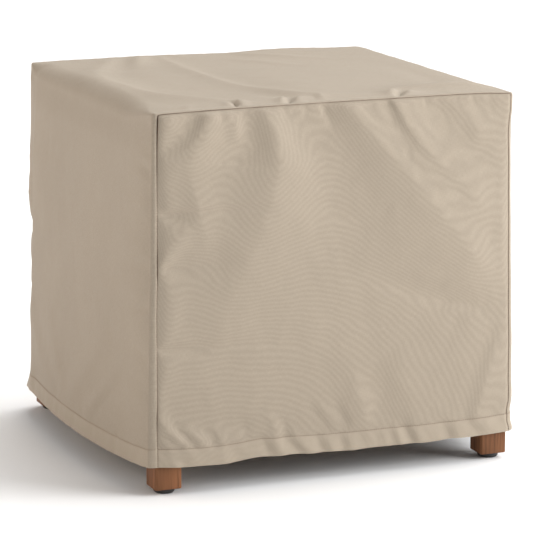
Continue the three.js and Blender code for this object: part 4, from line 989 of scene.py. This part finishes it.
def cloth_material(name, watered):
    m = Nodes(name)
    coord = m.new("ShaderNodeTexCoord")
    obj = coord.outputs["Object"]
    uvn = m.new("ShaderNodeUVMap", uv_map="cloth")
    c = CLOTH_MAIN
    light = rgb(*(v * 1.035 for v in c))
    dark = rgb(*(v * 0.955 for v in c))
    broad = m.noise(obj, 7.0, 2, 0.5)
    base = m.mix(broad, dark, light)
    # threads: fine light and dark flecks stretched along each thread direction
    for sx, sy, amount in ((2600.0, 160.0, 0.35), (160.0, 2600.0, 0.35)):
        mp = m.new("ShaderNodeMapping")
        mp.inputs["Scale"].default_value = (sx, sy, 1.0)
        m.link(uvn.outputs["UV"], mp.inputs["Vector"])
        f = m.noise(mp.outputs["Vector"], 1.0, 2, 0.5)
        f = m.math("MULTIPLY", m.math("SUBTRACT", f, 0.5), amount)
        f = m.math("ADD", f, 1.0)
        comb = m.new("ShaderNodeCombineColor")
        for k in range(3):
            m.link(f, comb.inputs[k])
        base = m.mix(1.0, base, comb.outputs[0], "MULTIPLY")
    if watered:
        s = m.math("SINE", m.attribute("water"))
        s = m.math("ADD", m.math("MULTIPLY", s, 0.038), 1.0)
        comb = m.new("ShaderNodeCombineColor")
        for k in range(3):
            m.link(s, comb.inputs[k])
        base = m.mix(1.0, base, comb.outputs[0], "MULTIPLY")
    # a hem is a little lighter: partly because two layers of cloth hide what is under them, partly painted light that
    # offsets the shade near the ground
    base = m.mix(m.math("MULTIPLY", m.attribute("hem"), 0.5, True), base, rgb(*(v * 1.13 for v in c)))
    # painted shade in the seams' grooves, and a slightly darker line where the hem is sewn
    seam = m.attribute("seam")
    base = m.mix(m.math("MULTIPLY", seam, 0.20, True), base, rgb(0.13, 0.082, 0.050))
    st = m.attribute("stitch")
    base = m.mix(m.math("MULTIPLY", st, 0.08, True), base, rgb(0.19, 0.14, 0.10))
    m.link(base, m.b.inputs["Base Color"])
    rough = m.math("ADD", m.math("MULTIPLY", m.noise(obj, 55.0, 3), 0.12), 0.58)
    m.link(rough, m.b.inputs["Roughness"])
    m.b.inputs["Specular IOR Level"].default_value = 0.30
    m.b.inputs["Sheen Weight"].default_value = 0.05
    m.b.inputs["Sheen Roughness"].default_value = 0.5
    # weave: crossing threads as a fine relief, and a soft hand-feel crinkle
    mp = m.new("ShaderNodeMapping")
    mp.inputs["Scale"].default_value = (1.0, 1.0, 1.0)
    m.link(uvn.outputs["UV"], mp.inputs["Vector"])
    sep = m.new("ShaderNodeSeparateXYZ")
    m.link(mp.outputs["Vector"], sep.inputs[0])
    k = 2 * math.pi / 0.00062
    sx = m.math("SINE", m.math("MULTIPLY", sep.outputs[0], k))
    sy = m.math("SINE", m.math("MULTIPLY", sep.outputs[1], k))
    weave = m.math("MULTIPLY", sx, sy)
    bump1 = m.new("ShaderNodeBump")
    bump1.inputs["Strength"].default_value = 0.35
    bump1.inputs["Distance"].default_value = 0.00008
    m.link(weave, bump1.inputs["Height"])
    crinkle = m.noise(obj, 130.0, 4, 0.6)
    bump2 = m.new("ShaderNodeBump")
    bump2.inputs["Strength"].default_value = 0.30
    bump2.inputs["Distance"].default_value = 0.0006
    m.link(crinkle, bump2.inputs["Height"])
    m.link(bump1.outputs[0], bump2.inputs["Normal"])
    m.link(bump2.outputs[0], m.b.inputs["Normal"])
    return m.mat


def thread_material(name, colour):
    m = Nodes(name)
    coord = m.new("ShaderNodeTexCoord")
    f = m.noise(coord.outputs["Object"], 900.0, 2)
    m.link(m.mix(f, rgb(*(v * 0.88 for v in colour)), rgb(*(v * 1.12 for v in colour))), m.b.inputs["Base Color"])
    m.b.inputs["Roughness"].default_value = 0.6
    return m.mat


def wood_material():
    m = Nodes("table_wood")
    coord = m.new("ShaderNodeTexCoord")
    mp = m.new("ShaderNodeMapping")
    mp.inputs["Scale"].default_value = (42.0, 42.0, 2.6)
    m.link(coord.outputs["Object"], mp.inputs["Vector"])
    grain = m.noise(mp.outputs["Vector"], 1.0, 6, 0.62)
    mp2 = m.new("ShaderNodeMapping")
    mp2.inputs["Scale"].default_value = (420.0, 420.0, 14.0)
    m.link(coord.outputs["Object"], mp2.inputs["Vector"])
    pores = m.noise(mp2.outputs["Vector"], 1.0, 3, 0.6)
    ramp = m.new("ShaderNodeValToRGB")
    ramp.color_ramp.elements[0].position = 0.32
    ramp.color_ramp.elements[0].color = rgb(0.108, 0.044, 0.018)
    ramp.color_ramp.elements[1].position = 0.68
    ramp.color_ramp.elements[1].color = rgb(0.270, 0.112, 0.047)
    m.link(grain, ramp.inputs[0])
    dark = m.math("MULTIPLY", m.math("SUBTRACT", pores, 0.52, True), 3.0, True)
    base = m.mix(dark, ramp.outputs[0], rgb(0.06, 0.024, 0.010))
    m.link(base, m.b.inputs["Base Color"])
    m.link(m.math("ADD", m.math("MULTIPLY", pores, 0.2), 0.50), m.b.inputs["Roughness"])
    m.b.inputs["Specular IOR Level"].default_value = 0.25
    bump = m.new("ShaderNodeBump")
    bump.inputs["Strength"].default_value = 0.25
    bump.inputs["Distance"].default_value = 0.0004
    m.link(pores, bump.inputs["Height"])
    m.link(bump.outputs[0], m.b.inputs["Normal"])
    return m.mat


def plastic_material():
    m = Nodes("glide_plastic")
    coord = m.new("ShaderNodeTexCoord")
    f = m.noise(coord.outputs["Object"], 260.0, 4)
    m.link(m.mix(f, rgb(0.012, 0.011, 0.010), rgb(0.028, 0.026, 0.025)), m.b.inputs["Base Color"])
    m.link(m.math("ADD", m.math("MULTIPLY", f, 0.25), 0.38), m.b.inputs["Roughness"])
    bump = m.new("ShaderNodeBump")
    bump.inputs["Strength"].default_value = 0.2
    bump.inputs["Distance"].default_value = 0.0002
    m.link(f, bump.inputs["Height"])
    m.link(bump.outputs[0], m.b.inputs["Normal"])
    return m.mat


plain_cloth = cloth_material("cover_cloth", False)
watered_cloth = cloth_material("cover_cloth_front", True)
thread = thread_material("cover_thread", (0.19, 0.128, 0.080))
# the sides' hem thread is a lighter copy of the front's thread: painted light that eases the shade along the sides' hem
# line
side_thread_lightened = thread_material("cover_thread_sides", (0.27, 0.195, 0.130))
seam_thread_stuff = thread_material("seam_thread", (0.15, 0.088, 0.053))
wood = wood_material()
plastic = plastic_material()
front.data.materials.append(watered_cloth)
back.data.materials.append(plain_cloth)
wrap.data.materials.append(plain_cloth)
for ob in stitch_objects[:2]:
    ob.data.materials.append(thread)
# the sides' hem stitches take the lighter thread, painted light over the hem line's shade
for ob in stitch_objects[2:]:
    ob.data.materials.append(side_thread_lightened)
for ob in seam_objects:
    ob.data.materials.append(seam_thread_stuff)
for ob in wood_objects + [board]:
    ob.data.materials.append(wood)
for ob in glide_objects:
    ob.data.materials.append(plastic)

for ob, node in ((front, "front_panel"), (back, "back_panel"), (wrap, "wrap_panel")):
    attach(ob, "root")
    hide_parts(node)
for ob in stitch_objects + seam_objects:
    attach(ob, "root")

# ---------------------------------------------------------------- floor, lights
me = bpy.data.meshes.new("floor")
s = 30.0
me.from_pydata([(-s, -s, 0), (s, -s, 0), (s, s, 0), (-s, s, 0)], [], [(0, 1, 2, 3)])
floor = bpy.data.objects.new("floor", me)
bpy.context.scene.collection.objects.link(floor)
fm = Nodes("floor")
coord = fm.new("ShaderNodeTexCoord")
f = fm.noise(coord.outputs["Object"], 3.0, 2)
fm.link(fm.mix(f, rgb(0.94, 0.94, 0.94), rgb(0.96, 0.96, 0.96)), fm.b.inputs["Base Color"])
fm.b.inputs["Roughness"].default_value = 0.9
fm.b.inputs["Specular IOR Level"].default_value = 0.0
floor.data.materials.append(fm.mat)

scene = bpy.context.scene
scene.view_settings.view_transform = "Standard"
scene.view_settings.look = "None"
world = bpy.data.worlds.new("studio")
scene.world = world
world.use_nodes = True
world.node_tree.nodes["Background"].inputs[0].default_value = (0.97, 0.985, 1.0, 1)
world.node_tree.nodes["Background"].inputs[1].default_value = 0.40


def far_light(name, direction, level, spread, colour=(1, 1, 1)):
    """A broad, even light from far away; level is what it adds to a white
    surface that faces it."""
    l = bpy.data.lights.new(name, "SUN")
    l.energy = level * math.pi
    l.angle = math.radians(spread)
    l.color = colour
    ob = bpy.data.objects.new(name, l)
    bpy.context.scene.collection.objects.link(ob)
    ob.rotation_mode = "QUATERNION"
    ob.rotation_quaternion = (-Vector(direction)).to_track_quat("-Z", "Y")
    ob.location = Vector(direction) * 4
    return ob


def soft_box(name, direction, distance, size, level, colour=(1, 1, 1)):
    """A square soft box aimed at the object's middle; level as above."""
    l = bpy.data.lights.new(name, "AREA")
    l.shape = "SQUARE"
    l.size = size
    l.energy = level * math.pi ** 2 * distance ** 2
    l.color = colour
    ob = bpy.data.objects.new(name, l)
    bpy.context.scene.collection.objects.link(ob)
    d = Vector(direction).normalized()
    ob.location = d * distance + Vector((0, 0, 0.3))
    ob.rotation_mode = "QUATERNION"
    ob.rotation_quaternion = d.to_track_quat("Z", "Y")
    return ob


soft_box("key", (0.76, -0.55, 0.33), 5.2, 3.0, 0.90)
far_light("overhead", (0.55, 0.20, 0.80), 0.92, 70)
far_light("left_fill", (-0.76, 0.50, 0.14), 0.555, 60, (1.0, 0.84, 0.70))

# ---------------------------------------------------------------- camera
AZ, EL = math.radians(-22.087), math.radians(11.983)
F_PX, DIST, TX, TZ = 3034.2, 5004.2, 10.96, -27.11
backv = Vector((math.sin(AZ) * math.cos(EL), -math.cos(AZ) * math.cos(EL), math.sin(EL)))
right = Vector((math.cos(AZ), math.sin(AZ), 0))
upv = backv.cross(right)
cam_data = bpy.data.cameras.new("camera")
cam_data.sensor_width = 36.0
cam_data.lens = F_PX * 36.0 / 540.0
cam_data.clip_end = 100
cam = bpy.data.objects.new("camera", cam_data)
scene.collection.objects.link(cam)
cam.location = (Vector((0, 0, 302)) + right * TX + upv * TZ + backv * DIST) * 0.001 + Vector(SHIFT)
cam.rotation_mode = "QUATERNION"
cam.rotation_quaternion = (-backv).to_track_quat("-Z", "Y")
scene.camera = cam

bpy.context.view_layer.update()
